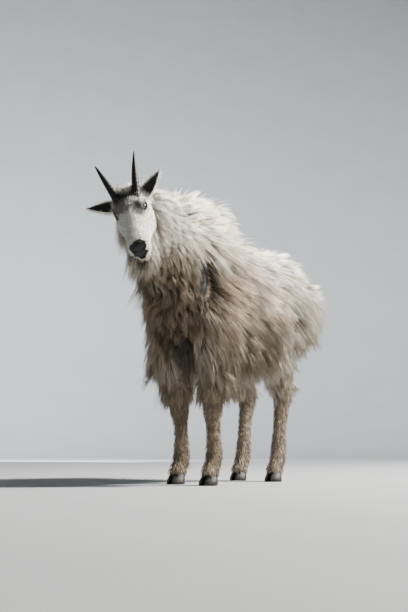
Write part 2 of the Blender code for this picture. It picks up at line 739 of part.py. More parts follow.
def beard_locks(rng):
    """Long locks from the chin and the underside of the jaw, hanging straight down."""
    made = []
    for y, low, length in BEARD_ROWS:
        for n in range(3):
            x = (n - 1) * 0.021
            root = HEAD @ Vector((x, y + rng.uniform(-0.004, 0.004), low + abs(x) * 0.25))
            out = HEAD_TURN @ Vector((x * 10, 0, -1))
            end = Vector((5 * x + rng.uniform(-0.08, 0.08), 0.05, -1)).normalized()
            reach = length * rng.uniform(0.9, 1.1)
            made.append(lock(root, out * 0.5, end, end, reach, BEARD_WIDTH, 2, rng, 0.35))
    return made


def ruff_locks(stub, skull, rng):
    """The first locks of the neck, which hang beside and below the cheek from the head's own node."""
    tree = BVHTree.FromPolygons([v.co for v in skull.vertices], [list(f.vertices) for f in skull.polygons])

    def wanted(point, normal):
        nearest, facing = tree.find_nearest(point)[:2]
        clear = (point - nearest).dot(facing) > RUFF_CLEAR
        return clear and -0.10 < head_distance(point) < -0.012 and point.z > 0.84 and abs(normal.z) < 0.9

    made = []
    for root, normal in lock_roots(stub, RUFF_SPACING, wanted, rng):
        side = 1 if normal.x >= 0 else -1
        end = Vector((0.15 * side + rng.uniform(-0.1, 0.1), 0.25 + rng.uniform(-0.1, 0.1), -1)).normalized()
        tangent = (end - normal * end.dot(normal)).normalized()
        width = RUFF_SPACING * LOCK_WIDTH
        made.append(lock(root, normal * 0.4, tangent, end, 0.115 * rng.uniform(0.9, 1.1), width, 3, rng))
    return made


def head_locks(rng):
    """The crown's tuft behind the horns and the fringe along the jaw and cheeks."""
    made = []
    for n in range(2):
        x = (n - 0.5) * 0.034
        root = HEAD @ Vector((x, 0.088 + rng.uniform(-0.006, 0.006), 0.026))
        out = HEAD_TURN @ Vector((x * 6, 0.25, 1))
        end = (HEAD_TURN @ Vector((x * 8, 0.9, 0.6))).normalized()
        made.append(lock(root, out, end, end, 0.055 * rng.uniform(0.9, 1.2), 0.046, 4, rng, 0.3))
    for side in (1, -1):
        for n in range(2):
            y = 0.056 - n * 0.070
            root = HEAD @ Vector((side * (0.040 - 0.002 * n), y, -0.086 + 0.008 * n))
            out = HEAD_TURN @ Vector((side * 0.9, 0.1, -0.5))
            end = (HEAD_TURN @ Vector((side * 0.30, 0.75, -0.55)) + Vector((0, 0, -0.8))).normalized()
            made.append(lock(root, out * 0.45, end, end, 0.075 * rng.uniform(0.9, 1.1), 0.074, 4, rng, 0.16))
    return made


def horn(side):
    """A slender black horn that rises from the crown, curves back and carries rings round its lower half."""
    rows = []
    for k in range(HORN_RINGS + 1):
        share = k / HORN_RINGS
        sweep = math.radians(52 - 26 * share)
        rise = Vector((0.26, math.cos(sweep), math.sin(sweep))).normalized()
        place = Vector(rows[-1][:3]) + rise * HORN_LENGTH / HORN_RINGS if rows else HORN_ROOT
        ring = 0.045 * (1 if k % 2 else -1) * (1 - smooth_step(0.35, 0.6, share))
        radius = HORN_RADIUS * (1 - share) ** 0.72 * (1 + ring) + 0.0012
        rows.append((*place, radius, radius * 1.08, 0))
    bm = bmesh.new()
    loft(bm, rows, fore=Vector((0, 0, 1)), sides=9, per_row=1)
    mesh = mesh_of(bm, "horn")
    mesh.transform(HEAD @ Matrix.Diagonal((side, 1, 1, 1)))
    if side < 0:
        mesh.flip_normals()
    return mesh


# Each ear's way out of the head, in the head's axes, and the way its cup opens.
EAR_WAYS = {
    1: (Vector((0.80, 0.40, 0.44)), Vector((0.25, -0.72, 0.62))),
    -1: (Vector((-0.96, 0.22, 0.20)), Vector((-0.10, -0.55, 0.80))),
}


def ear(side):
    """A leaf-shaped ear with a hollow front, broad near its root and pointed at its tip."""
    way, opening = (v.normalized() for v in EAR_WAYS[side])
    opening = (opening - way * opening.dot(way)).normalized()
    root = Vector((side * EAR_AT.x, EAR_AT.y, EAR_AT.z))
    outline = (
        (0.00, 0.0180, 0.0125),
        (0.18, 0.0245, 0.0130),
        (0.42, 0.0235, 0.0110),
        (0.66, 0.0170, 0.0080),
        (0.86, 0.0090, 0.0050),
        (1.00, 0.0020, 0.0020),
    )
    rows = [(*(root + way * EAR_LENGTH * (share - 0.08)), wide, deep, 0) for share, wide, deep in outline]
    bm = bmesh.new()
    loft(bm, rows, fore=opening, sides=10, per_row=1)
    mesh = mesh_of(bm, "ear")
    cup = []
    for share, wide, deep in outline[1:]:
        front = root + way * EAR_LENGTH * (share - 0.06) + opening * (deep * 0.62 + 0.004)
        cup.append((*front, max(wide - 0.0040, 0.0008), max(deep * 1.05 - 0.001, 0.0008), 0))
    bm = bmesh.new()
    loft(bm, cup, fore=opening, sides=8, per_row=1)
    mesh = largest_body(combined(mesh, [mesh_of(bm, "cup")], "DIFFERENCE"))
    mesh.transform(HEAD)
    return mesh


def centre_on_floor():
    """Moves all the nodes so that the middle of their box stands over the origin."""
    corners = [v.co for thing in bpy.data.objects for v in thing.data.vertices]
    middle = [(max(c[k] for c in corners) + min(c[k] for c in corners)) / 2 for k in (0, 1)]
    for thing in bpy.data.objects:
        thing.data.transform(Matrix.Translation((-middle[0], -middle[1], 0)))


def main():
    clear_scene()
    core = body_form(CORE_SHARE, 0.012, 6, BODY_TRIANGLES)
    coated = largest_body(combined(core.copy(), body_locks(core)))
    body_nodes(coated)
    head_nodes(core)
    feet()
    centre_on_floor()


main()
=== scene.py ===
"""The looks of a still, life-size mountain goat in its long coat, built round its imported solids.

Metres, +Z up. The goat faces -Y and its left side is +X. The sections of the body are those of the
solids without the coat's depth. The top of each foreleg, the nose and the roots of the ears are set
for the skin, each leg has one more section at its foot, and the lids, mouth, nostrils, hooves and
horns differ in detail. The tufts grow out of the skin, and some reach past the solids' locks.
"""

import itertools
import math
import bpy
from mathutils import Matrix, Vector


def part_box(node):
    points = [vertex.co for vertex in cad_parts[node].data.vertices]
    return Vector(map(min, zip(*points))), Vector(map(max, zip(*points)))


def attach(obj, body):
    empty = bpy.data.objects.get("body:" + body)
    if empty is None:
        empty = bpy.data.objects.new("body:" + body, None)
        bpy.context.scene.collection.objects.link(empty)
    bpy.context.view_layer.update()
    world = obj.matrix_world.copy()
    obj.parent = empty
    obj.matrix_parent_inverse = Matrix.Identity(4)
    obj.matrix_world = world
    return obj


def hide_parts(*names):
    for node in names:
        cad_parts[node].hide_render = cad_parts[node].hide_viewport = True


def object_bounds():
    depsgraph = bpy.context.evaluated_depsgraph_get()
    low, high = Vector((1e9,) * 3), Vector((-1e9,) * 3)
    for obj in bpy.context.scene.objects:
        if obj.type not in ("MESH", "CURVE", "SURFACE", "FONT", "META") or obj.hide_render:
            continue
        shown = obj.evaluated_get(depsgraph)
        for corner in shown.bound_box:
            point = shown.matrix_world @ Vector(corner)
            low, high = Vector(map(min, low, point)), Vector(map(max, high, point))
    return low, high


bl_info = {
    "name": "Mountain goat",
    "version": (1, 0, 0),
    "blender": (4, 5, 0),
    "location": "View3D > Sidebar > Goat",
    "description": "Builds a still mountain goat: its skin, coat, eyes, horns and feet, and a studio",
    "category": "Object",
}

import bmesh
import bpy
import numpy as np
from mathutils import Matrix, Vector
from mathutils.bvhtree import BVHTree
from mathutils.kdtree import KDTree

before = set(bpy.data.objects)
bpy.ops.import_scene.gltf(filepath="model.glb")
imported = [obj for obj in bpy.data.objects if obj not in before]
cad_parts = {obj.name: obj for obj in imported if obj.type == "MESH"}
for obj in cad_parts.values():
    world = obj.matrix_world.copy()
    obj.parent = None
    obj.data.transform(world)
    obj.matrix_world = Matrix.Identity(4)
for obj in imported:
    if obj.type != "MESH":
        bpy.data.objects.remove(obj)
CAD_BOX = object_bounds()

UP = Vector((0, 0, 1))
BACK = Vector((0, 1, 0))
SEED = 11

# Each section of the shorn body: x, y, z of its middle, half width and half height.
TRUNK = (
    (0, -0.405, 0.735, 0.044, 0.085),
    (0, -0.345, 0.725, 0.076, 0.165),
    (0, -0.250, 0.720, 0.108, 0.230),
    (0, -0.080, 0.715, 0.138, 0.232),
    (0, 0.090, 0.705, 0.160, 0.212),
    (0, 0.240, 0.720, 0.155, 0.195),
    (0, 0.370, 0.770, 0.140, 0.162),
    (0, 0.480, 0.798, 0.112, 0.117),
    (0, 0.548, 0.800, 0.050, 0.065),
)
HUMP = (
    (0, -0.490, 0.930, 0.035, 0.055),
    (0, -0.390, 0.958, 0.046, 0.072),
    (0, -0.250, 0.970, 0.050, 0.085),
    (0, -0.100, 0.970, 0.048, 0.085),
    (0, 0.055, 0.915, 0.038, 0.065),
)
NECK = (
    (0, -0.230, 0.800, 0.100, 0.160),
    (0, -0.370, 0.870, 0.088, 0.140),
    (0.004, -0.480, 0.925, 0.072, 0.110),
    (0.012, -0.570, 0.965, 0.058, 0.082),
    (0.020, -0.630, 0.980, 0.038, 0.050),
)
# Leg sections run down; their half width is across the body and their half height is fore and aft.
FORELEG = (
    (0.062, -0.238, 0.800, 0.030, 0.080),
    (0.098, -0.225, 0.560, 0.054, 0.085),
    (0.099, -0.215, 0.430, 0.041, 0.051),
    (0.094, -0.219, 0.320, 0.034, 0.038),
    (0.092, -0.215, 0.275, 0.030, 0.034),
    (0.091, -0.211, 0.235, 0.0225, 0.027),
    (0.090, -0.210, 0.180, 0.021, 0.026),
    (0.090, -0.205, 0.110, 0.026, 0.031),
    (0.090, -0.222, 0.068, 0.024, 0.028),
    (0.090, -0.236, 0.040, 0.028, 0.034),
    (0.090, -0.240, 0.030, 0.022, 0.028),
)
HINDLEG = (
    (0.080, 0.385, 0.790, 0.065, 0.110),
    (0.098, 0.330, 0.670, 0.072, 0.114),
    (0.100, 0.268, 0.560, 0.060, 0.090),
    (0.098, 0.282, 0.455, 0.042, 0.056),
    (0.097, 0.322, 0.370, 0.028, 0.043),
    (0.096, 0.320, 0.320, 0.025, 0.036),
    (0.096, 0.300, 0.220, 0.021, 0.027),
    (0.095, 0.287, 0.115, 0.026, 0.032),
    (0.095, 0.268, 0.068, 0.024, 0.029),
    (0.095, 0.252, 0.040, 0.028, 0.034),
    (0.095, 0.248, 0.030, 0.022, 0.028),
)
TAIL = (
    (0, 0.500, 0.850, 0.026, 0.020),
    (0, 0.570, 0.862, 0.024, 0.016),
    (0, 0.620, 0.845, 0.018, 0.012),
    (0, 0.655, 0.812, 0.010, 0.008),
)
# How far each foot stands from the places above: outward and back.
FOOT_SHIFT = {
    ("fore", 1): (0.012, -0.020),
    ("fore", -1): (-0.012, 0.030),
    ("hind", 1): (0.004, -0.015),
    ("hind", -1): (0.000, 0.030),
}
SIDE_NAMES = {1: "left", -1: "right"}

# The head, in its own axes: x to its left, y back along the face, z out of the forehead, from the
# point midway between the eyes. Each section: y, half width, top and bottom.
EYES_AT = Vector((0.052, -0.682, 0.953))
HEAD_LEFT = Vector((0.869, 0.380, 0.330))
HEAD_NOSE = Vector((0.520, -0.358, -0.775))
NOSE_IN_HEAD = Vector((0, -0.985, -0.176))
SKULL = (
    (0.130, 0.034, -0.004, -0.075),
    (0.100, 0.050, 0.026, -0.094),
    (0.055, 0.057, 0.040, -0.106),
    (0.010, 0.0585, 0.038, -0.110),
    (-0.030, 0.052, 0.026, -0.102),
    (-0.070, 0.042, 0.011, -0.088),
    (-0.110, 0.0345, 0.000, -0.077),
    (-0.145, 0.0330, -0.007, -0.073),
    (-0.170, 0.0300, -0.014, -0.071),
    (-0.184, 0.0215, -0.025, -0.062),
)
# The middle and the radii of each rounded part of the head: the brow, cheek, wing of the nostril,
# upper lip, foot of the horn and root of the ear, each on both sides, then the nose and the chin.
SKULL_SWELLINGS = (
    ((0.043, 0.010, 0.010), (0.019, 0.032, 0.020)),
    ((0.035, 0.030, -0.068), (0.022, 0.050, 0.038)),
    ((0.019, -0.172, -0.030), (0.014, 0.018, 0.017)),
    ((0.017, -0.160, -0.050), (0.018, 0.028, 0.013)),
    ((0.031, 0.058, 0.018), (0.022, 0.026, 0.022)),
    ((0.042, 0.074, -0.004), (0.018, 0.018, 0.018)),
    ((0, -0.177, -0.027), (0.027, 0.015, 0.020)),
    ((0, -0.166, -0.071), (0.021, 0.026, 0.013)),
)
# Folds and hollows of the face, on both sides: the middle, the reach and how far the skin moves out.
FACE_FOLDS = (
    ((0.040, 0.012, 0.026), 0.013, 0.0034),
    ((0.036, -0.030, -0.008), 0.011, -0.0034),
    ((0.034, -0.048, 0.002), 0.015, -0.0026),
    ((0.031, -0.088, -0.012), 0.017, -0.0030),
    ((0.015, -0.066, 0.016), 0.013, 0.0020),
    ((0.014, -0.104, 0.006), 0.013, 0.0018),
    ((0.013, -0.136, 0.000), 0.012, 0.0014),
    ((0.052, -0.012, -0.034), 0.016, 0.0030),
    ((0.036, -0.062, -0.050), 0.020, -0.0036),
    ((0.000, -0.085, 0.008), 0.026, 0.0012),
    ((0.000, -0.005, 0.036), 0.018, -0.0016),
    ((0.027, -0.180, -0.024), 0.007, 0.0016),
    ((0.028, -0.156, -0.018), 0.008, -0.0022),
    ((0.020, -0.176, -0.050), 0.009, 0.0016),
    ((0.013, -0.178, -0.067), 0.008, 0.0018),
    ((0.046, 0.045, -0.060), 0.026, 0.0030),
    ((0.038, -0.098, -0.056), 0.008, -0.0016),
)
EYE_AT = Vector((0.0420, 0.007, 0.004))
EYE_LOOK = Vector((0.80, -0.50, 0.33))
EYE_ALONG = Vector((0, -1, -0.25))
EYE_RADIUS = 0.0150
EYE_CLEAR = 0.0003
LID = 0.0034
LID_OPENING = (0.0128, 0.0092)
# The left nostril from its inner to its outer end, its radius at each place, and how far the black
# leather reaches round each place.
NOSTRIL = (
    (0.0085, -0.200, -0.040),
    (0.0145, -0.200, -0.036),
    (0.0215, -0.195, -0.027),
    (0.0245, -0.186, -0.019),
)
NOSTRIL_RADII = (0.0036, 0.0064, 0.0054, 0.0022)
NOSTRIL_LEATHER = (0.0078, 0.0240, 0.0074)
# The bare leather of the nose, of the lips and between them: its middle, radii and soft edge.
LEATHER_PARTS = (
    ((0.004, -0.187, -0.019), (0.0310, 0.0320, 0.0145), 0.10),
    ((0, -0.188, -0.052), (0.0250, 0.0320, 0.0150), 0.08),
    ((-0.008, -0.186, -0.040), (0.0200, 0.0400, 0.0150), 0.10),
)
MOUTH_CORNER = Vector((0.036, -0.108, -0.058))
MOUTH_FRONT = Vector((0.000, -0.190, -0.057))
MOUTH_WIDTH = 0.0030
MOUTH_STEPS = 24
GROOVE_RADIUS = 0.0010
GROOVE_HEIGHTS = (-0.038, -0.044, -0.050, -0.056)
LID_POINTS = 36
# The plane where the head ends and the neck begins: a place on it and the way out of it.
HEAD_END = Vector((0, 0.100, -0.085))
HEAD_END_WAY = Vector((-0.50, 0.85, 0.10))
# The fineness and the smoothing of the fused skin of the head and of the body.
HEAD_VOXEL, HEAD_SMOOTHING = 0.0021, 7
BODY_VOXEL, BODY_SMOOTHING = 0.0066, 4
HORN_ROOT = Vector((0.029, 0.048, 0.012))
HORN_STEPS = 14
EAR_AT = Vector((0.044, 0.074, -0.002))
EAR_LENGTH = 0.130
# Each ear's way out of the head, in the head's axes, and the way its cup opens.
EAR_WAYS = {
    1: (Vector((0.80, 0.40, 0.44)), Vector((0.25, -0.72, 0.62))),
    -1: (Vector((-0.96, 0.22, 0.20)), Vector((-0.10, -0.55, 0.80))),
}
# Along an ear: the share of its length, its half width and its half depth.
EAR_OUTLINE = (
    (0.00, 0.0180, 0.0125),
    (0.18, 0.0245, 0.0130),
    (0.42, 0.0235, 0.0110),
    (0.66, 0.0170, 0.0080),
    (0.86, 0.0090, 0.0050),
    (1.00, 0.0018, 0.0018),
)

CORONET_HEIGHT = 0.040
HOOF_LENGTH = 0.074
HOOF_WIDTH = 0.033
CLAW_SPLAY = 0.07
# Up a hoof: the height, the size for that of the sole, and how far back it stands.
HOOF_LEVELS = (
    (0.0, 0.985, 0.0),
    (0.0015, 1.0, 0.0002),
    (0.010, 0.99, 0.001),
    (0.018, 0.955, 0.0035),
    (0.026, 0.90, 0.007),
    (0.034, 0.82, 0.010),
    (CORONET_HEIGHT - 0.0003, 0.76, 0.013),
)

# The patch on the left side of the chest where the long hair is shed, and its radii.
BALD_AT = (0.112, -0.300, 0.778)
BALD_RADII = (0.060, 0.030, 0.064)
# The heights over the eye's middle beyond which its clear front part swells, and each swelling.
CORNEA = ((0.0105, 0.0004), (0.0118, 0.0005), (0.0130, 0.0005), (0.0141, 0.0003))
HORN_LEVELS = 84
HORN_RINGS = 13
HORN_RIDGE = 0.06
SHARP = math.radians(50)
DEWCLAW_RADII = (0.0075, 0.0085, 0.0150)
# The most triangles that a piece may have.
PIECE_LIMIT = 200000
# The thickness of a tuft at even steps from its root to its point.
LONG_PROFILE = (0.85, 0.95, 0.0)
SHORT_PROFILE = (0.9, 0.8, 0.0)
# How light a tuft is at even steps along it: painted shade, darkest deep in the coat at the root and
# lightest at the tip.
LONG_TONES = (0.22, 0.58, 0.92, 1.10, 1.22)
SHORT_TONES = (0.74, 0.90, 1.00, 1.04, 1.08)
# Long hair of the head: where it grows, how many tufts, their length, the way they lie in the head's
# axes, how much they hang, how much they stand out, and how many meet in a point.
HEAD_HAIR = (
    (((0, 0.092, 0.022), (0.038, 0.018, 0.028)), 1300, 0.036, (0.30, 1.00, 0.35), 0.0, 0.80, 12),
    (((0, 0.075, -0.085), (0.075, 0.050, 0.060)), 2600, 0.080, (0.30, 0.60, -0.45), 1.6, 0.45, 14),
    (((0, 0.005, -0.100), (0.052, 0.060, 0.026)), 1400, 0.066, (0.20, 0.40, -0.40), 1.8, 0.34, 14),
    (((0, -0.138, -0.076), (0.024, 0.034, 0.016)), 1100, 0.072, (0.35, 0.00, -0.10), 1.3, 0.26, 10),
    (((0, -0.085, -0.084), (0.034, 0.048, 0.020)), 1500, 0.088, (0.40, 0.05, -0.10), 1.4, 0.28, 12),
)
# The width of the head's long tufts for that of the body's.
HEAD_TUFT_SHARE = 0.62

# How far the tips of the long hair may reach past the solids' box.
COAT_BEYOND = (0.021, 0.050, 0.020)
# The size of the waves in which neighbouring locks of the coat swing the same way.
FLOW_SIZE = 0.085
# The share of tufts that stray from their lock, and how far the middle and the tip of every tuft
# stay off the skin and the tip off the floor.
STRAY_SHARE = 0.07
MIDDLE_CLEAR, TIP_CLEAR, FLOOR_CLEAR = 0.006, 0.008, 0.004
# The heights at which the long hair of the forelegs and the hind legs ends.
FORE_CUFF, HIND_CUFF = 0.300, 0.340
# The share of the short tufts on the face and on the legs, and the angle at which they leave the skin.
FACE_SHARE, LEG_SHARE = 0.56, 0.44
SHORT_LIFT = 0.17
# The radius of a tuft's root on the map OFBake.
MAP_RADIUS = 0.0015

FLOOR_RADIUS = 7.5
COVE_RADIUS = 2.0
COVE_STEPS = 10
WALL_HEIGHT = 6.0
FLOOR_COLOURS = ("969A9E", "9EA2A5")
WORLD_COLOUR = "DDE6F2"
WORLD_STRENGTH = 0.05
PUPIL_COLOUR = "080605"
# Each lamp: its name, place, what it shines at, its size, power and colour.
LIGHTS = (
    ("key_light", (3.7, 2.9, 4.5), (0, 0, 0.75), 0.8, 2300.0, (1.0, 0.955, 0.88)),
    ("fill_light", (5.0, -1.5, 2.0), (0, -0.2, 0.7), 2.5, 13.0, (0.96, 0.98, 1.0)),
    ("wall_light_left", (-4.5, 3.0, 1.5), (-7.0, 9.0, 2.5), 3.0, 400.0, (0.93, 0.96, 1.0)),
    ("wall_light_right", (2.5, 5.0, 1.5), (0.0, 9.0, 2.5), 3.0, 400.0, (0.93, 0.96, 1.0)),
)
CAMERA_AZIMUTH = 33.0
CAMERA_DISTANCE = 4.2
CAMERA_ASIDE = -0.0745
CAMERA_HEIGHT = 0.15
CAMERA_RISE = 0.132
CAMERA_LENS = 61.76
# A 36 mm sensor held upright, narrowed to the photo's width for its height.
CAMERA_SENSOR = 36.0 * 408 / 612


def linear(code):
    """An sRGB hex colour as linear red, green and blue."""
    shades = [int(code[k : k + 2], 16) / 255 for k in (0, 2, 4)]
    return [s / 12.92 if s <= 0.04045 else ((s + 0.055) / 1.055) ** 2.4 for s in shades]


class GoatSizes(bpy.types.PropertyGroup):
    """The sizes of the finer pieces."""

    coat_length: bpy.props.FloatProperty(
        name="Coat length", description="Of a tuft on the flank", default=0.145, unit="LENGTH"
    )
    coat_lift: bpy.props.FloatProperty(
        name="Coat lift",
        description="Angle at which the coat leaves the skin",
        default=0.42,
        subtype="ANGLE",
    )
    tuft_width: bpy.props.FloatProperty(
        name="Tuft width", description="Of a tuft of long hair", default=0.0028, unit="LENGTH"
    )
    tufts: bpy.props.IntProperty(
        name="Long tufts", description="How many tufts of long hair the body carries", default=104000
    )
    clump: bpy.props.IntProperty(
        name="Tufts in a clump", description="How many tufts hang together to a point", default=22
    )
    face_tufts: bpy.props.IntProperty(
        name="Short tufts", description="How many short tufts the face and lower legs carry", default=30000
    )
    horn_length: bpy.props.FloatProperty(
        name="Horn length", description="Along the horn's curve", default=0.186, unit="LENGTH"
    )
    horn_radius: bpy.props.FloatProperty(
        name="Horn radius", description="At the horn's foot", default=0.0172, unit="LENGTH"
    )


class GoatColours(bpy.types.PropertyGroup):
    """The colours of the coat, skin, horn and eye, as linear values."""

    white: bpy.props.FloatVectorProperty(
        name="White", description="Of the back and face", default=linear("F3EFE6"), subtype="COLOR"
    )
    # Cream also paints shade low on the body; tan and brown paint shade on the chest; brown paints shade
    # between the forelegs, under the belly and behind the elbows; grey paints shade on the forehead, round
    # the right eye and in the ears.
    cream: bpy.props.FloatVectorProperty(
        name="Cream", description="Of most of the coat", default=linear("E3DACA"), subtype="COLOR"
    )
    tan: bpy.props.FloatVectorProperty(
        name="Tan", description="Of stained hair", default=linear("B39C7E"), subtype="COLOR"
    )
    brown: bpy.props.FloatVectorProperty(
        name="Brown", description="Of dirt in the matted hair", default=linear("5B4C3D"), subtype="COLOR"
    )
    grey: bpy.props.FloatVectorProperty(
        name="Grey", description="Of the forehead", default=linear("56534F"), subtype="COLOR"
    )
    leather: bpy.props.FloatVectorProperty(
        name="Leather", description="Of the nose and lips", default=linear("0C0B0A"), subtype="COLOR"
    )
    horn: bpy.props.FloatVectorProperty(
        name="Horn", description="Of the horns and hooves", default=linear("0A0908"), subtype="COLOR"
    )
    iris: bpy.props.FloatVectorProperty(
        name="Iris", description="Of the eye round its pupil", default=linear("24160B"), subtype="COLOR"
    )


def on_side(place, side):
    """A place on the left of the goat, carried over to its left, 1, or its right, -1."""
    return Vector((side * place[0], place[1], place[2]))


def new_object(name, mesh):
    made = bpy.data.objects.new(name, mesh)
    bpy.context.scene.collection.objects.link(made)
    return made


def mesh_of(bm, name):
    """The bmesh as a mesh with its faces pointing out. The bmesh is freed."""
    bmesh.ops.recalc_face_normals(bm, faces=bm.faces)
    mesh = bpy.data.meshes.new(name)
    bm.to_mesh(mesh)
    bm.free()
    return mesh


def applied(thing):
    """A new mesh with the object's modifiers in it. The object goes."""
    bpy.context.view_layer.update()
    graph = bpy.context.evaluated_depsgraph_get()
    mesh = bpy.data.meshes.new_from_object(thing.evaluated_get(graph))
    bpy.data.objects.remove(thing)
    return mesh


def between(rows, place):
    """The row of numbers at a place along rows, on a smooth curve through them."""
    k = min(int(place), len(rows) - 2)
    t = place - k
    before, here, there, after = (rows[max(0, min(len(rows) - 1, k + step))] for step in (-1, 0, 1, 2))
    return [
        0.5 * (2 * b + (c - a) * t + (2 * a - 5 * b + 4 * c - d) * t**2 + (3 * b - a - 3 * c + d) * t**3)
        for a, b, c, d in zip(before, here, there, after)
    ]


def loft(bm, rows, fore=UP, sides=28, per_row=4, swell=0.0):
    """A closed tube through the sections, each ring square to the path and swelled all round."""
    count = (len(rows) - 1) * per_row + 1
    spots = [between(rows, k / per_row) for k in range(count)]
    rings = []
    for k, spot in enumerate(spots):
        middle = Vector(spot[:3])
        ahead = Vector(spots[min(k + 1, count - 1)][:3]) - Vector(spots[max(k - 1, 0)][:3])
        across = ahead.normalized().cross(fore).normalized()
        out = across.cross(ahead.normalized())
        wide, high = (max(half, 0.0004) + swell for half in spot[3:5])
        turns = [2 * math.pi * n / sides for n in range(sides)]
        rings.append(
            [bm.verts.new(middle + across * wide * math.cos(a) + out * high * math.sin(a)) for a in turns]
        )
    for ring, following in zip(rings, rings[1:]):
        for n in range(sides):
            bm.faces.new((ring[n], ring[n - 1], following[n - 1], following[n]))
    bm.faces.new(rings[0])
    bm.faces.new(reversed(rings[-1]))


def ball(bm, middle, radii):
    """An ellipsoid with the given radii."""
    place = Matrix.Translation(middle) @ Matrix.Diagonal((*radii, 1))
    bmesh.ops.create_uvsphere(bm, u_segments=24, v_segments=16, radius=1, matrix=place)


def fused(bm, name, voxel, smoothing):
    """One smooth closed skin over all the overlapping forms in the bmesh."""
    thing = new_object(name, mesh_of(bm, name))
    remesh = thing.modifiers.new("fuse", "REMESH")
    remesh.mode = "VOXEL"
    remesh.voxel_size = voxel
    soften = thing.modifiers.new("soften", "SMOOTH")
    soften.factor = 0.5
    soften.iterations = smoothing
    return applied(thing)


def combined(mesh, piece, operation="UNION"):
    """The mesh joined with or cut by a piece. MANIFOLD, because EXACT takes too long on fine skins."""
    thing = new_object("joining", mesh)
    other = new_object("piece", piece)
    boolean = thing.modifiers.new("join", "BOOLEAN")
    boolean.operation = operation
    boolean.solver = "MANIFOLD"
    boolean.object = other
    result = applied(thing)
    bpy.data.objects.remove(other)
    return result


def shifted_leg(rows, kind, side):
    """A leg's sections on one side, with its foot moved as FOOT_SHIFT says and the rest easing into it."""
    outward, back = FOOT_SHIFT[kind, side]
    shifted = []
    for x, y, z, wide, high in rows:
        ease = max(0.0, min(1.0, (0.60 - z) / 0.30))
        shifted.append((side * (x + outward * ease), y + back * ease, z, wide, high))
    return shifted


LEGS = {
    (kind, side): shifted_leg(rows, kind, side)
    for kind, rows in (("fore", FORELEG), ("hind", HINDLEG))
    for side in (1, -1)
}


def head_matrix():
    """From the head's own axes to the body's."""
    left = HEAD_LEFT.normalized()
    nose = (HEAD_NOSE - left * HEAD_NOSE.dot(left)).normalized()
    frame_own = Matrix(((1, 0, 0), NOSE_IN_HEAD, Vector((1, 0, 0)).cross(NOSE_IN_HEAD))).transposed()
    frame_body = Matrix((left, nose, left.cross(nose))).transposed()
    return Matrix.Translation(EYES_AT) @ (frame_body @ frame_own.inverted()).to_4x4()


HEAD = head_matrix()
HEAD_TURN = HEAD.to_3x3()
HEAD_BACK = HEAD.inverted()


def solids_shift():
    """From the place of these sections to that of the solids, which stand centred on the floor."""
    low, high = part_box("eye_left")
    return (low + high) / 2 - HEAD @ EYE_AT


SHIFT = solids_shift()


def placed(points):
    """Points of the sections, as an array, where the solids stand."""
    return np.asarray(points) + np.array(SHIFT)


def as_array(mesh, what="co"):
    """The places or the normals of a mesh's points."""
    values = np.zeros(len(mesh.vertices) * 3, np.float32)
    source, key = (mesh.vertices, "co") if what == "co" else (mesh.vertex_normals, "vector")
    source.foreach_get(key, values)
    return values.reshape(-1, 3).astype(float)


def in_head(points):
    """Body points in the head's own axes."""
    turn = np.array(HEAD_BACK.to_3x3())
    return points @ turn.T + np.array(HEAD_BACK.translation)


def smooth_step(low, high, values):
    t = np.clip((np.asarray(values, float) - low) / (high - low), 0, 1)
    return t * t * (3 - 2 * t)


def head_distance(points):
    """How far points lie behind the plane where the head ends."""
    return (points - np.array(HEAD @ HEAD_END)) @ np.array(HEAD_END_WAY.normalized())


def noise(points, size, seed=0):
    """Smooth random values from 0 to 1 over space, in cells of that size."""
    spots = points / size + 13.7 * seed
    cell = np.floor(spots)
    part = spots - cell
    part = part * part * (3 - 2 * part)
    total = np.zeros(len(points))
    for corner in itertools.product((0, 1), repeat=3):
        weight = np.prod(np.where(corner, part, 1 - part), axis=1)
        draw = np.sin((cell + corner) @ (127.1, 311.7, 74.7)) * 43758.5453
        total += weight * (draw - np.floor(draw))
    return total


def lid_turn(side):
    """The eye's own axes: along its opening towards the nose, up over it, and the way it looks."""
    look = on_side(EYE_LOOK, side).normalized()
    along = (EYE_ALONG - look * EYE_ALONG.dot(look)).normalized()
    return Matrix((along, look.cross(along) * side, look)).transposed()


def lid_ring(head, side):
    """How far out head points lie round an eye's opening, 1 at its rim, and their place in its axes."""
    local = (head - np.array(on_side(EYE_AT, side))) @ np.array(lid_turn(side))
    return np.hypot(local[:, 0] / LID_OPENING[0], local[:, 1] / LID_OPENING[1]), local


def bar(points, radii, sides=12):
    """A round bar with its own radius at each point, closed at its ends."""
    bm = bmesh.new()
    rows = [(*p, r, r) for p, r in zip(points, radii)]
    loft(bm, rows, fore=Vector((0.1, 0.2, 1)), sides=sides, per_row=3)
    return mesh_of(bm, "bar")


def on_skin(mesh, points):
    """The nearest places on the mesh."""
    tree = BVHTree.FromPolygons([v.co for v in mesh.vertices], [list(f.vertices) for f in mesh.polygons])
    return [tree.find_nearest(Vector(p))[0] for p in points]


# The line of the mouth on the skin, filled in when the head is formed and read for the leather.
LIP_LINE = []


def mouth_line(skull):
    """Points on the skin from one corner of the mouth round the front to the other."""
    wanted = []
    for n in range(MOUTH_STEPS + 1):
        turn = math.pi * n / MOUTH_STEPS
        ahead = MOUTH_CORNER.y + (MOUTH_FRONT.y - MOUTH_CORNER.y) * math.sin(turn) * 1.1
        up = MOUTH_CORNER.z + 0.001 * math.cos(2 * turn)
        wanted.append((MOUTH_CORNER.x * 1.6 * math.cos(turn), ahead, up))
    return on_skin(skull, wanted)


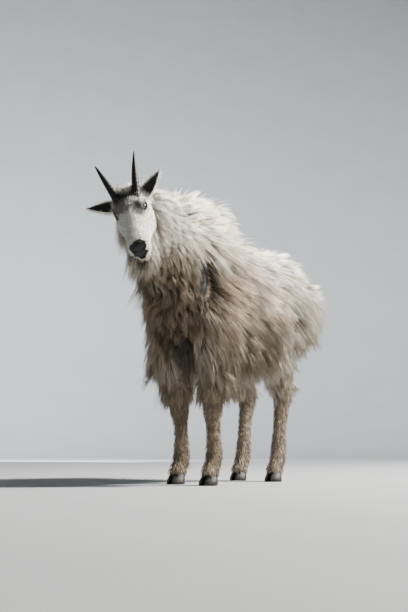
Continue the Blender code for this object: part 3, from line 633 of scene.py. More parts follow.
def folded(mesh):
    """Moves the skin of the head out and in where its bones, folds and lids lie."""
    points, normals = as_array(mesh), as_array(mesh, "normals")
    push = np.zeros(len(points))
    for (x, y, z), reach, out in FACE_FOLDS:
        for side in (1, -1) if x else (1,):
            away = np.linalg.norm(points - (side * x, y, z), axis=1) / reach
            push += out * np.exp(-away * away)
    for side in (1, -1):
        ring, local = lid_ring(points, side)
        facing = smooth_step(0.000, 0.006, local[:, 2])
        upper = 0.5 + 0.5 * smooth_step(-0.004, 0.006, local[:, 1])
        push += facing * 0.0012 * np.exp(-(((ring - 1.22) / 0.16) ** 2))
        push -= facing * upper * 0.0021 * np.exp(-(((ring - 1.72) / 0.17) ** 2))
        push += facing * upper * 0.0012 * np.exp(-(((ring - 2.15) / 0.22) ** 2))
        push -= facing * 0.0012 * np.exp(-(((ring - 2.7) / 0.18) ** 2)) * (1 - upper)
    points += normals * push[:, None]
    mesh.vertices.foreach_set("co", points.astype(np.float32).ravel())
    mesh.update()
    return mesh


def lid_gap(side):
    """The almond-shaped space between the lids, open to the front."""
    bm = bmesh.new()
    turn = lid_turn(side)
    at = on_side(EYE_AT, side)
    rings = []
    for depth, size in ((0.006, 0.80), (0.0125, 0.93), (0.0165, 1.0), (0.021, 1.10), (0.032, 1.5)):
        ring = []
        for n in range(LID_POINTS):
            a = 2 * math.pi * n / LID_POINTS
            along = LID_OPENING[0] * math.cos(a) * (1.12 if math.cos(a) > 0 else 1.0)
            across = LID_OPENING[1] * math.sin(a) * (0.55 + 0.45 * abs(math.sin(a)))
            droop = -0.0012 * math.cos(a) ** 3
            ring.append(bm.verts.new(at + turn @ Vector((along * size, (across + droop) * size, depth))))
        rings.append(ring)
    for ring, following in zip(rings, rings[1:]):
        for n in range(LID_POINTS):
            bm.faces.new((ring[n], ring[n - 1], following[n - 1], following[n]))
    bm.faces.new(rings[0])
    bm.faces.new(rings[-1])
    return mesh_of(bm, "gap")


def ear_form(side):
    """A leaf-shaped ear with a hollow front, narrow at its root and pointed at its tip."""
    way, opening = EAR_WAYS[side][0].normalized(), ear_opening(side)
    root = on_side(EAR_AT, side)
    rows = []
    cup = []
    for share, wide, deep in EAR_OUTLINE:
        curl = opening * 0.010 * (share - 0.4) ** 2
        rows.append((*(root + way * EAR_LENGTH * (share - 0.08) + curl), wide, deep))
    for share, wide, deep in EAR_OUTLINE[1:]:
        front = root + way * EAR_LENGTH * (share - 0.06) + opening * (deep * 0.62 + 0.004)
        front += opening * 0.010 * (share - 0.4) ** 2
        cup.append((*front, max(wide - 0.0034, 0.0008), max(deep * 1.05 - 0.001, 0.0008)))
    outer, inner = bmesh.new(), bmesh.new()
    loft(outer, rows, fore=opening, sides=32, per_row=6)
    loft(inner, cup, fore=opening, sides=28, per_row=6)
    return combined(mesh_of(outer, "ear"), mesh_of(inner, "cup"), "DIFFERENCE")


def head_form():
    """The head with its ears, lids, mouth and nostrils, in the head's own axes."""
    bm = bmesh.new()
    rows = [(0, y, (top + low) / 2, wide, (top - low) / 2) for y, wide, top, low in SKULL]
    loft(bm, rows, sides=40, per_row=6, swell=0.0015)
    for (x, y, z), radii in SKULL_SWELLINGS:
        for side in (1, -1) if x else (1,):
            ball(bm, on_side((x, y, z), side), radii)
    for side in (1, -1):
        ball(bm, on_side(EYE_AT, side), [EYE_RADIUS + LID] * 3)
    skull = folded(fused(bm, "skull", HEAD_VOXEL, HEAD_SMOOTHING))
    for side in (1, -1):
        skull = combined(skull, lid_gap(side), "DIFFERENCE")
        bm = bmesh.new()
        ball(bm, on_side(EYE_AT, side), [EYE_RADIUS + EYE_CLEAR] * 3)
        skull = combined(skull, mesh_of(bm, "socket"), "DIFFERENCE")
    line = mouth_line(skull)
    LIP_LINE[:] = line
    skull = combined(skull, bar(line, [MOUTH_WIDTH / 2] * len(line)), "DIFFERENCE")
    groove = on_skin(skull, [(0, -0.215, z) for z in GROOVE_HEIGHTS])
    skull = combined(skull, bar(groove, [GROOVE_RADIUS] * len(groove), 8), "DIFFERENCE")
    for side in (1, -1):
        hollow = on_skin(skull, [(side * x, y, z) for x, y, z in NOSTRIL])
        skull = combined(skull, bar(hollow, NOSTRIL_RADII), "DIFFERENCE")
        skull = combined(skull, ear_form(side))
    return skull


def body_form():
    """The shorn body behind the head, in the body's axes."""
    bm = bmesh.new()
    for rows in (TRUNK, HUMP, NECK, TAIL):
        loft(bm, rows)
    for (kind, _), rows in LEGS.items():
        loft(bm, rows, fore=BACK, sides=24)
        knee, fetlock = Vector(rows[4][:3]), Vector(rows[7][:3])
        if kind == "fore":
            ball(bm, knee + Vector((0, -0.007, -0.002)), (0.030, 0.030, 0.036))
        else:
            ball(bm, knee + Vector((0, 0.026, 0.010)), (0.019, 0.024, 0.034))
        ball(bm, fetlock + Vector((0, 0.006, -0.006)), (0.026, 0.026, 0.024))
        heel = Vector(rows[-1][:3])
        for half in (1, -1):
            ball(bm, heel + Vector((half * 0.012, 0.008, 0.016)), (0.016, 0.026, 0.020))
    return fused(bm, "body", BODY_VOXEL, BODY_SMOOTHING)


def near(points, middle, radii, soft=0.35):
    """1 inside an ellipsoid, fading to 0 over a soft share of it beyond."""
    away = np.linalg.norm((points - np.array(middle)) / np.array(radii), axis=1)
    return 1 - smooth_step(1.0, 1.0 + soft, away)


def shade(tone, other, weight):
    """Colours moved towards another by a weight for each."""
    return tone + (np.asarray(other) - tone) * np.asarray(weight)[:, None]


def ear_share(head, side):
    """How far along an ear head points lie, and how far from its middle line."""
    way = np.array(EAR_WAYS[side][0].normalized())
    away = head - np.array(on_side(EAR_AT, side))
    along = away @ way
    return along / EAR_LENGTH, np.linalg.norm(away - along[:, None] * way, axis=1)


def bare_skin(points):
    """1 where the skin is bare and black: the nose, nostrils, lips and the rims of the lids."""
    head = in_head(points)
    uneven = head + 0.0020 * (noise(points, 0.006, 5) - 0.5)[:, None]
    bare = np.zeros(len(points))
    for middle, radii, soft in LEATHER_PARTS:
        bare = np.maximum(bare, near(uneven, middle, radii, soft))
    for side in (1, -1):
        for x, y, z in NOSTRIL:
            bare = np.maximum(bare, near(uneven, (side * x, y, z), NOSTRIL_LEATHER, 0.12))
        ring, local = lid_ring(head, side)
        bare = np.maximum(bare, smooth_step(1.72, 1.55, ring) * smooth_step(0.002, 0.007, local[:, 2]))
    for n, spot in enumerate(LIP_LINE):
        front = math.sin(math.pi * n / (len(LIP_LINE) - 1))
        away = np.linalg.norm((uneven - np.array(spot)) * (1, 1, 1.25), axis=1)
        bare = np.maximum(bare, 1 - smooth_step(0.0030 + 0.0020 * front, 0.0042 + 0.0026 * front, away))
    return bare


def markings_and_painted_shade(points):
    """The colour of the coat at each place on the goat, which the skin and the hair share: its markings
    and stains, with painted shade low on the body, on the chest, under the belly, between the forelegs,
    behind the elbows, on the forehead, round the right eye and in the ears, and painted light on the
    neck. Each zone fades in between two heights or distances along the body, or from an ellipsoid."""
    tones = bpy.context.scene.goat_colours
    names = ("white", "cream", "tan", "brown", "grey")
    white, cream, tan, brown, grey = (np.array(getattr(tones, name)) for name in names)
    x, y, z = points.T
    head = in_head(points)
    blotch, patch, fleck = noise(points, 0.090, 1), noise(points, 0.038, 2), noise(points, 0.012, 3)
    tone = np.tile(white, (len(points), 1))
    # Cream below the back and over the fore part: partly the coat's own cream, partly painted shade that
    # leaves the lit top whiter.
    creamy = np.maximum(smooth_step(0.98, 0.80, z), 0.75 * smooth_step(0.16, 0.00, y))
    tone = shade(tone, cream, 0.9 * creamy)
    tone = shade(tone, tan, 0.36 * fleck * smooth_step(0.16, 0.00, y))
    # Painted light: the front of the neck is painted whiter, as where the light falls on it.
    tone = shade(tone, white, 0.65 * smooth_step(-0.36, -0.46, y) * smooth_step(0.86, 0.92, z))
    soiled = smooth_step(0.40, 0.80, 0.6 * blotch + 0.4 * patch) * smooth_step(0.92, 0.72, z)
    tone = shade(tone, tan, 0.55 * soiled)
    # The chest and the front of the shoulder in tan and brown: partly real dirt, partly painted shade.
    front = smooth_step(0.10, -0.26, y) * smooth_step(0.97, 0.78, z)
    front = front * (1 - 0.85 * smooth_step(0.80, 0.90, z)) * (1 - 0.45 * smooth_step(0.60, 0.52, z))
    tone = shade(tone, tan, front * (0.35 + 0.45 * patch))
    tone = shade(tone, brown, front * (0.10 + 0.55 * smooth_step(0.35, 0.85, 0.5 * blotch + 0.5 * fleck)))
    # Painted shade under the belly, in patchy brown.
    belly_painted_shade = smooth_step(0.62, 0.50, z) * smooth_step(0.30, 0.05, y)
    tone = shade(tone, brown, belly_painted_shade * (0.18 + 0.35 * patch))
    thigh = near(points * (0, 1, 1), (0, 0.42, 0.56), (1, 0.10, 0.15), 0.6)
    tone = shade(tone, tan, thigh * (0.30 + 0.40 * patch))
    # Painted shade between the forelegs, in dark brown.
    between = smooth_step(0.075, 0.040, abs(x)) * smooth_step(0.68, 0.60, z) * smooth_step(0.20, 0.05, y)
    tone = shade(tone, brown * 0.4, 0.85 * between)
    # The fold behind each foreleg and a band along the front of the flank in brown: partly brown hair,
    # partly painted shade.
    mirrored = points * np.where(x[:, None] < 0, (-1, 1, 1), 1)
    elbow = near(mirrored, (0.12, 0.02, 0.62), (0.13, 0.12, 0.075), 0.7)
    elbow = np.maximum(elbow, 0.7 * near(mirrored, (0.12, -0.13, 0.66), (0.10, 0.035, 0.10), 0.9))
    tone = shade(tone, brown, elbow * (0.45 + 0.50 * patch))
    lower = smooth_step(0.46, 0.33, z)
    tone = shade(tone, tan * 0.62, lower * 0.80)
    tone = shade(tone, brown, lower * (0.20 + 0.25 * patch))
    matted = near(points, (0.080, -0.380, 0.690), (0.085, 0.085, 0.090), 0.8)
    tone = shade(tone, brown * 0.75, matted * (0.45 + 0.45 * fleck))
    shed = near(points, BALD_AT, BALD_RADII, 0.5)
    tone = shade(tone, brown * 0.05, shed * 0.97)
    face = smooth_step(0.01, -0.03, head_distance(points))
    tone = shade(tone, white, face)
    band = smooth_step(0.016, 0.034, head[:, 1]) * smooth_step(0.078, 0.064, head[:, 1])
    band = face * band * smooth_step(-0.010, 0.008, head[:, 2]) * smooth_step(0.056, 0.044, abs(head[:, 0]))
    tone = shade(tone, grey * 0.30, band * (0.85 + 0.15 * fleck))
    # Painted shade over the forehead, reaching further over its right side; by the left eye's inner corner,
    # a real grey patch.
    brow = near(head, (-0.014, 0.002, 0.036), (0.036, 0.024, 0.022), 0.6)
    inner = near(head, (0.027, -0.022, 0.020), (0.015, 0.028, 0.022), 0.7)
    tone = shade(tone, grey * 0.25, face * np.maximum(0.72 * brow, 0.86 * inner) * (0.75 + 0.25 * fleck))
    # Darker fur round each eye; the stronger darkening round the right eye is painted shade.
    for side in (1, -1):
        ring, local = lid_ring(head, side)
        round_eye = smooth_step(2.6, 1.5, ring) * smooth_step(-0.004, 0.004, local[:, 2])
        tone = shade(tone, grey * 0.3, face * round_eye * (0.50 if side > 0 else 0.90))
    chin = smooth_step(-0.066, -0.074, head[:, 2]) * smooth_step(-0.06, -0.10, head[:, 1])
    tone = shade(tone, cream, face * smooth_step(-0.050, -0.070, head[:, 2]))
    tone = shade(tone, tan * 0.60, face * chin * (0.25 + 0.6 * fleck))
    # The dark skin inside each ear, deepened by painted shade in its hollow.
    for side in (1, -1):
        share, away = ear_share(head, side)
        ear = smooth_step(0.10, 0.25, share) * smooth_step(0.045, 0.035, away)
        facing = (head - np.array(on_side(EAR_AT, side))) @ np.array(ear_opening(side))
        wide = np.interp(share + 0.08, *np.array(EAR_OUTLINE)[:, :2].T)
        rim = wide - np.sqrt(np.maximum(away**2 - facing**2, 0))
        hollow = ear * smooth_step(0.0036, 0.0056, rim) * smooth_step(-0.0045, -0.0025, facing)
        tone = shade(tone, grey * 0.22, hollow * smooth_step(0.92, 0.82, share))
    return tone * (0.93 + 0.14 * fleck)[:, None]


def ear_opening(side):
    """The way an ear's hollow faces, square to its length."""
    way, opening = (v.normalized() for v in EAR_WAYS[side])
    return (opening - way * opening.dot(way)).normalized()


def scattered(mesh, count, weight, rng):
    """Places spread over the mesh by its area and a weight, with the way the skin faces there."""
    mesh.calc_loop_triangles()
    corners = np.zeros(len(mesh.loop_triangles) * 3, np.int32)
    mesh.loop_triangles.foreach_get("vertices", corners)
    corners = corners.reshape(-1, 3)
    points, normals = as_array(mesh), as_array(mesh, "normals")
    triangle = points[corners]
    edges = triangle[:, 1] - triangle[:, 0], triangle[:, 2] - triangle[:, 0]
    area = np.linalg.norm(np.cross(*edges), axis=1)
    share = area * weight(triangle.mean(axis=1))
    chosen = rng.choice(len(share), count, p=share / share.sum())
    a, b = rng.random((2, count))
    over = a + b > 1
    a, b = np.where(over, 1 - a, a), np.where(over, 1 - b, b)
    mix = np.stack([1 - a - b, a, b], axis=1)[:, :, None]
    root = (triangle[chosen] * mix).sum(axis=1)
    out = (normals[corners[chosen]] * mix).sum(axis=1)
    return root, unit(out)


def unit(vectors):
    return vectors / np.maximum(np.linalg.norm(vectors, axis=1), 1e-9)[:, None]


def coat_course(root):
    """How the long hair grows at each root: the way it lies, its length and how much it stands off.
    Each layer is a weight, the way out, back and up, a size and a stand, and covers those before it."""
    length = bpy.context.scene.goat_sizes.coat_length
    x, y, z = root.T
    side = np.clip(x / 0.06, -1, 1)
    lie, long, stand = np.zeros((len(root), 3)), np.zeros(len(root)), np.zeros(len(root))
    low_chest = smooth_step(-0.20, -0.34, y) * smooth_step(0.99, 0.86, z)
    between = smooth_step(0.068, 0.042, abs(x)) * smooth_step(0.68, 0.60, z) * smooth_step(0.16, 0.06, y)
    chest_front = smooth_step(-0.28, -0.36, y) * smooth_step(0.60, 0.70, z) * smooth_step(0.90, 0.80, z)
    neck_crest = smooth_step(0.985, 1.03, z) * smooth_step(-0.28, -0.42, y)
    hump = smooth_step(0.90, 0.97, z) * smooth_step(0.12, 0.02, y)
    rear_crest = smooth_step(0.84, 0.91, z) * smooth_step(0.02, 0.14, y)
    buttock = smooth_step(0.38, 0.50, y) * smooth_step(0.90, 0.82, z)
    thigh = smooth_step(0.16, 0.30, y) * smooth_step(0.70, 0.60, z)
    neck = smooth_step(-0.38, -0.48, y) * smooth_step(0.78, 0.86, z)
    rump_top = smooth_step(0.28, 0.36, y) * smooth_step(0.80, 0.86, z)
    rump_corner = smooth_step(0.40, 0.47, y) * smooth_step(0.77, 0.80, z) * smooth_step(0.86, 0.83, z)
    rump_corner = rump_corner * smooth_step(0.05, 0.09, abs(x))
    foreleg = smooth_step(0.62, 0.52, z) * (y < 0.02)
    layers = (
        (np.ones(len(root)), (0.02, 0.74, -0.66), 1.05, 0.80),
        (smooth_step(0.74, 0.56, z), (0.00, 0.50, -0.86), 0.95, 0.66),
        (low_chest, (0.06, 0.24, -0.97), 0.88, 0.70),
        (hump, (0.15, 1.00, -0.05), 0.82, 1.25),
        (hump * smooth_step(-0.14, -0.02, y), (0.15, 0.90, -0.45), 0.62, 0.85),
        (rear_crest, (0.20, 0.95, -0.20), 0.80, 1.15),
        (rump_top, (0.15, 0.85, -0.50), 0.62, 0.62),
        (buttock, (0.06, 0.40, -0.91), 0.72, 0.75),
        (rump_corner, (0.55, 0.75, -0.35), 0.52, 1.25),
        (thigh, (0.04, -0.04, -1.00), 0.56, 0.55),
        (smooth_step(0.56, 0.48, z), (0.03, 0.06, -1.00), 0.62, 0.50),
        (foreleg, (0.10, 0.00, -1.00), 0.86, 0.72),
        (between, (0.05, 0.20, -0.97), 0.42, 0.50),
        (chest_front, (0.10, 0.10, -0.98), 0.88, 1.05),
        (neck, (0.20, 0.45, -0.86), 0.84, 0.90),
        (neck_crest, (0.10, 0.95, 0.10), 1.00, 1.55),
        (smooth_step(0.54, 0.58, y), (0.10, 0.75, -0.65), 0.78, 1.30),
    )
    for weight, (out, back, up), size, off in layers:
        way = np.column_stack([side * out, np.full(len(root), back), np.full(len(root), up)])
        lie = shade(lie, way, weight)
        long += (length * size - long) * weight
        stand += (off - stand) * weight
    near_head = smooth_step(0.20, 0.02, head_distance(root) + 0.08 * smooth_step(0.96, 1.02, z))
    long *= 1 - 0.60 * near_head
    cuff = np.where(y < 0.02, FORE_CUFF, HIND_CUFF)
    long = np.where(z < 0.50, np.minimum(long, np.maximum(0.042, (z - cuff) * 1.05)), long)
    above_bald, wider = np.array(BALD_AT) + (0, -0.012, 0.070), np.array(BALD_RADII) * (1.3, 1.0, 1.45)
    over = near(root, above_bald, wider, 0.35)
    return unit(lie), long * (1 - 0.74 * over), stand


def grown(root, out, lie, long, lift, tree, rng, clump=1, sway=0.25, pull=0.6, sink=0.006):
    """The root, middle and tip of each tuft. Neighbours bend the same way and meet in a point."""
    count = len(root)
    centres = rng.choice(count, max(1, count // clump), replace=False)
    finder = KDTree(len(centres))
    for n, spot in enumerate(root[centres]):
        finder.insert(spot, n)
    finder.balance()
    own = np.array([finder.find(p)[1] for p in root])
    drift = np.stack([noise(root, FLOW_SIZE, 20 + k) - 0.5 for k in range(3)], axis=1) * sway * 4
    sways = drift + rng.normal(0, sway * 0.5, (len(centres), 3))[own]
    sways = sways + rng.normal(0, sway * 0.3, (count, 3))
    stretch = rng.uniform(0.80, 1.20, len(centres))[own] * rng.uniform(0.80, 1.12, count)
    swell = 0.65 + 0.70 * noise(root, FLOW_SIZE * 0.8, 30)
    rise = swell * rng.uniform(0.75, 1.25, len(centres))[own] * rng.uniform(0.85, 1.15, count)
    stray = rng.random(count) < STRAY_SHARE
    rise = np.where(stray, rise * 1.35, rise) * lift
    # Where the skin faces away from the hair's way, as on a ledge, it grows out over the edge.
    against = smooth_step(-0.60, -0.95, (lie * out).sum(axis=1))
    lie = lie + unit(out * (1, 1, 0)) * against[:, None] * 1.2 + sways
    outward = (lie * out).sum(axis=1)
    lie = unit(lie - out * (outward * (1 - smooth_step(0.40, 0.80, outward)))[:, None])
    reach = (long * stretch / 2)[:, None]
    first, last = (rise * 1.5)[:, None], (rise * 0.45)[:, None]
    middle = root + (lie * np.cos(first) + out * np.sin(first)) * reach
    tip = middle + (lie * np.cos(last) + out * np.sin(last)) * reach
    tip[:, 2] -= 0.10 * reach[:, 0]
    amount = np.where(stray, 0.0, rng.uniform(0.5, 1.4, count) * pull)[:, None]
    goal = tip[centres][own]
    tip += (goal - tip) * np.clip(amount, 0, 0.92)
    middle += (middle[centres][own] - middle) * np.clip(amount, 0, 0.92) * 0.35
    for points, clear in ((middle, MIDDLE_CLEAR), (tip, TIP_CLEAR)):
        for n, spot in enumerate(points):
            place, facing, _, _ = tree.find_nearest(Vector(spot))
            depth = (Vector(spot) - place).dot(facing)
            if depth < clear:
                points[n] = place + facing * clear
    room = np.array(CAD_BOX[1]) + COAT_BEYOND
    lowest = np.array((-room[0], -room[1], FLOOR_CLEAR)) - np.array(SHIFT)
    for points in (middle, tip):
        points[:] = np.clip(points, lowest, room - np.array(SHIFT))
    tint = rng.normal(1, 0.13, len(centres))[own] * rng.normal(1, 0.13, count)
    stain = smooth_step(0.42, 0.95, rng.random(len(centres))[own] + rng.normal(0, 0.08, count))
    return {
        "root": root - out * sink,
        "middle": middle,
        "tip": tip,
        "out": out,
        "tint": tint,
        "stain": stain,
    }


def tufts_mesh(name, tufts, width, profile, tones, spread):
    """One mesh of three-sided tufts that taper to a point, each with its colours and a patch of the map."""
    count, stations = len(tufts["root"]), len(profile)
    t = np.linspace(0, 1, stations)[None, :, None]
    root, middle, tip = (tufts[k][:, None, :] for k in ("root", "middle", "tip"))
    curve = (1 - t) ** 2 * root + 2 * t * (1 - t) * middle + t**2 * tip
    ahead = 2 * (1 - t) * (middle - root) + 2 * t * (tip - middle)
    ahead /= np.maximum(np.linalg.norm(ahead, axis=2), 1e-9)[:, :, None]
    across = np.cross(ahead, tufts["out"][:, None, :])
    across /= np.maximum(np.linalg.norm(across, axis=2), 1e-9)[:, :, None]
    above = np.cross(across, ahead)
    sizes = np.asarray(profile)[None, :, None] * np.asarray(width).reshape(-1, 1, 1) / 2
    turns = np.radians((90, 210, 330))
    rings = [curve + (across * math.cos(a) + above * math.sin(a) * 0.45) * sizes for a in turns]
    rings = np.stack(rings, axis=2)[:, :-1].reshape(count, -1, 3)
    places = np.concatenate([rings, curve[:, -1:]], axis=1)
    each = places.shape[1]
    # Painted shade along each tuft, from its dark root to its light tip.
    shades = np.repeat(np.interp(np.linspace(0, 1, stations)[:-1], np.linspace(0, 1, 5), tones), 3)
    shades = np.append(shades, tones[-1])
    colour = tufts["colour"][:, None, :] * (tufts["tint"][:, None] * shades[None, :])[:, :, None]
    colour = np.concatenate([np.clip(colour, 0, 1), np.ones((count, each, 1))], axis=2)
    reach = MAP_RADIUS * np.append(np.repeat(1 - np.linspace(0, 1, stations)[:-1], 3), 0.0)
    corner = np.append(np.tile(turns, stations - 1), 0.0)
    patch = np.stack([np.cos(corner) * reach, np.sin(corner) * reach], axis=1)
    place_on_map = (0.01 + 0.98 * spread)[:, None, :] + patch[None]
    faces = [(0, 2, 1)]
    for low in range(0, 3 * (stations - 2), 3):
        for c, d in ((0, 1), (1, 2), (2, 0)):
            faces.append((low + c, low + d, low + 3 + d, low + 3 + c))
    last = 3 * (stations - 2)
    faces += [(last + c, last + (c + 1) % 3, each - 1) for c in range(3)]
    sizes_of = np.array([len(f) for f in faces])
    flat = np.array([v for f in faces for v in f])
    mesh = bpy.data.meshes.new(name)
    mesh.vertices.add(count * each)
    mesh.vertices.foreach_set("co", placed(places.reshape(-1, 3)).astype(np.float32).ravel())
    corners = (flat[None, :] + np.arange(count)[:, None] * each).ravel()
    mesh.loops.add(len(corners))
    mesh.loops.foreach_set("vertex_index", corners.astype(np.int32))
    mesh.polygons.add(len(faces) * count)
    starts = np.concatenate([[0], np.cumsum(np.tile(sizes_of, count))[:-1]])
    mesh.polygons.foreach_set("loop_start", starts.astype(np.int32))
    mesh.update(calc_edges=True)
    mesh.polygons.foreach_set("use_smooth", np.ones(len(faces) * count, bool))
    layer = mesh.uv_layers.new(name="OFBake")
    layer.data.foreach_set("uv", place_on_map.reshape(-1, 2)[corners].astype(np.float32).ravel())
    tone = mesh.attributes.new("coat_colour", "FLOAT_COLOR", "POINT")
    tone.data.foreach_set("color", colour.astype(np.float32).ravel())
    return mesh


def unrolled(points, region):
    """Places on the skin unrolled to a flat sheet, from 0 to 1 each way."""
    x, y, z = points.T
    if "head" in region or "face" in region:
        head = in_head(points)
        along, around = head[:, 1], np.arctan2(head[:, 0], head[:, 2] + 0.030)
    elif "leg" in region:
        kind = "fore" if "fore" in region else "hind"
        rows = np.array(LEGS[kind, 1])[::-1]
        middle_x = np.interp(z, rows[:, 2], rows[:, 0])
        middle_y = np.interp(z, rows[:, 2], rows[:, 1])
        along, around = z, np.arctan2(abs(x) - middle_x, y - middle_y) + np.sign(x) * math.pi
    else:
        along, around = y, np.arctan2(x, z - 0.72)
    sheet = np.stack([along, around], axis=1)
    low, high = sheet.min(axis=0), sheet.max(axis=0)
    return (sheet - low) / np.maximum(high - low, 1e-6)


def body_region(root):
    """The name of the coat piece that each long tuft belongs to."""
    x, y, z = root.T
    part = np.select(
        [z < 0.46, y < -0.33, y < -0.09, y < 0.20],
        [np.where(y < 0.05, "foreleg", "hindleg"), "neck", "shoulder", "flank"],
        "rump",
    )
    return np.char.add(np.char.add("coat_", part), np.where(x >= 0, "_left", "_right"))


def node(tree, kind, settings=None, links=None, values=None):
    """A node of a kind with its settings, what comes into its sockets, and its constants. A socket is
    given by its name, or by its number on a Mix node, whose sockets share their names."""
    made = tree.nodes.new(kind)
    for name, value in (settings or {}).items():
        setattr(made, name, value)
    for name, value in (values or {}).items():
        made.inputs[name].default_value = value
    for name, source in (links or {}).items():
        tree.links.new(source, made.inputs[name])
    return made


def new_material(name):
    """An empty node material and its tree."""
    made = bpy.data.materials.new(name)
    made.use_nodes = True
    made.node_tree.nodes.clear()
    return made, made.node_tree


def finish_material(tree, surface):
    node(tree, "ShaderNodeOutputMaterial", links={"Surface": surface})


def rgba(colour):
    return (*colour, 1.0)


def hair_material():
    """Matt guard hair that lets some light through, so that its outline glows against the light."""
    made, tree = new_material("guard_hair")
    tone = node(tree, "ShaderNodeAttribute", {"attribute_name": "coat_colour"})
    place = node(tree, "ShaderNodeTexCoord")
    own_place = {"Vector": place.outputs["Object"]}
    # Strands 6 mm apart differ a little in how clean they are.
    fleck = node(tree, "ShaderNodeTexNoise", links=own_place, values={"Scale": 160.0})
    cleaner = {"To Min": 0.86, "To Max": 1.10}
    clean = node(tree, "ShaderNodeMapRange", links={"Value": fleck.outputs["Fac"]}, values=cleaner)
    both = node(
        tree,
        "ShaderNodeVectorMath",
        {"operation": "SCALE"},
        {"Vector": tone.outputs["Color"], "Scale": clean.outputs["Result"]},
    )
    hair = node(
        tree,
        "ShaderNodeBsdfPrincipled",
        links={"Base Color": both.outputs["Vector"]},
        values={"Roughness": 0.62, "IOR": 1.55, "Specular IOR Level": 0.35},
    )
    through = node(tree, "ShaderNodeBsdfTranslucent", links={"Color": both.outputs["Vector"]})
    shaders = {1: hair.outputs["BSDF"], 2: through.outputs["BSDF"]}
    mixed = node(tree, "ShaderNodeMixShader", links=shaders, values={"Fac": 0.10})
    finish_material(tree, mixed.outputs["Shader"])
    return made


def skin_material():
    """Short dense hair over skin in the colours of the markings and the painted shade, and moist black
    leather where it is bare.
    """
    made, tree = new_material("goat_skin")
    tone = node(tree, "ShaderNodeAttribute", {"attribute_name": "markings_and_painted_shade"})
    bare = node(tree, "ShaderNodeAttribute", {"attribute_name": "bare"})
    place = node(tree, "ShaderNodeTexCoord")
    own_place = {"Vector": place.outputs["Object"]}
    # Hair tips 1.7 mm apart.
    nap = node(tree, "ShaderNodeTexNoise", links=own_place, values={"Scale": 600.0})
    # The grain of the leather, 1.3 mm across: real grain is a little finer, which a picture can't hold.
    grain = node(tree, "ShaderNodeTexVoronoi", links=own_place, values={"Scale": 750.0})
    depth_shade = {"To Min": 0.62, "To Max": 1.05}
    shaded = node(tree, "ShaderNodeMapRange", links={"Value": nap.outputs["Fac"]}, values=depth_shade)
    hair_tone = node(
        tree,
        "ShaderNodeVectorMath",
        {"operation": "SCALE"},
        {"Vector": tone.outputs["Color"], "Scale": shaded.outputs["Result"]},
    )
    leather = rgba(bpy.context.scene.goat_colours.leather)
    hair_or_bare = {0: bare.outputs["Fac"], 6: hair_tone.outputs["Vector"]}
    colour = node(tree, "ShaderNodeMix", {"data_type": "RGBA"}, hair_or_bare, {7: leather})
    matt_to_moist = {"To Min": 0.80, "To Max": 0.40}
    rough = node(tree, "ShaderNodeMapRange", links={"Value": bare.outputs["Fac"]}, values=matt_to_moist)
    heights = {0: bare.outputs["Fac"], 2: nap.outputs["Fac"], 3: grain.outputs["Distance"]}
    bumps = node(tree, "ShaderNodeMix", {"data_type": "FLOAT"}, heights)
    low_relief = {"Strength": 0.4, "Distance": 0.0008}
    relief = node(tree, "ShaderNodeBump", links={"Height": bumps.outputs[0]}, values=low_relief)
    finish = {
        "Base Color": colour.outputs[2],
        "Roughness": rough.outputs["Result"],
        "Normal": relief.outputs["Normal"],
    }
    shader = node(tree, "ShaderNodeBsdfPrincipled", links=finish, values={"IOR": 1.45})
    finish_material(tree, shader.outputs["BSDF"])
    return made


def eye_material(side):
    """A wet brown eye with a wide level pupil in the eye's own axes, dark towards its rim."""
    made, tree = new_material(f"wet_eye_{SIDE_NAMES[side]}")
    inward = eye_matrix(side).inverted()
    place = node(tree, "ShaderNodeTexCoord")
    own = node(
        tree,
        "ShaderNodeMapping",
        links={"Vector": place.outputs["Object"]},
        values={"Location": inward.translation, "Rotation": inward.to_euler()},
    )
    parts = node(tree, "ShaderNodeSeparateXYZ", links={"Vector": own.outputs["Vector"]})

    def maths(operation, first, second=None):
        made_node = node(tree, "ShaderNodeMath", {"operation": operation})
        for socket, value in zip(made_node.inputs, (first, second)):
            if isinstance(value, (int, float)):
                socket.default_value = value
            elif value is not None:
                tree.links.new(value, socket)
        return made_node.outputs[0]

    along, across = parts.outputs["X"], parts.outputs["Y"]
    radius = maths("SQRT", maths("ADD", maths("MULTIPLY", along, along), maths("MULTIPLY", across, across)))
    # The pupil is a level slot about 9 mm by 4 mm with round ends.
    slot_across = maths("MULTIPLY", across, 2.2)
    slot = maths(
        "SQRT", maths("ADD", maths("MULTIPLY", along, along), maths("MULTIPLY", slot_across, slot_across))
    )
    # The fibres of the iris, in specks 1.4 mm across.
    in_eye = {"Vector": own.outputs["Vector"]}
    fibre = node(tree, "ShaderNodeTexNoise", links=in_eye, values={"Scale": 700.0})
    open_part = node(
        tree,
        "ShaderNodeMapRange",
        {"interpolation_type": "SMOOTHSTEP"},
        {"Value": slot},
        {"From Min": 0.0040, "From Max": 0.0054},
    )
    rim = node(
        tree,
        "ShaderNodeMapRange",
        {"interpolation_type": "SMOOTHSTEP"},
        {"Value": radius},
        {"From Min": 0.0078, "From Max": 0.0096, "To Min": 1.0, "To Max": 0.06},
    )
    light_and_dark = {"To Min": 0.6, "To Max": 1.3}
    streak = node(tree, "ShaderNodeMapRange", links={"Value": fibre.outputs["Fac"]}, values=light_and_dark)
    lit = maths("MULTIPLY", open_part.outputs["Result"], rim.outputs["Result"])
    lit = maths("MULTIPLY", lit, streak.outputs["Result"])
    pupil_and_iris = {6: rgba(linear(PUPIL_COLOUR)), 7: rgba(bpy.context.scene.goat_colours.iris)}
    iris = node(tree, "ShaderNodeMix", {"data_type": "RGBA"}, {0: lit}, pupil_and_iris)
    shader = node(
        tree,
        "ShaderNodeBsdfPrincipled",
        links={"Base Color": iris.outputs[2]},
        values={"Roughness": 0.06, "IOR": 1.376, "Coat Weight": 0.4, "Coat Roughness": 0.02},
    )
    finish_material(tree, shader.outputs["BSDF"])
    return made


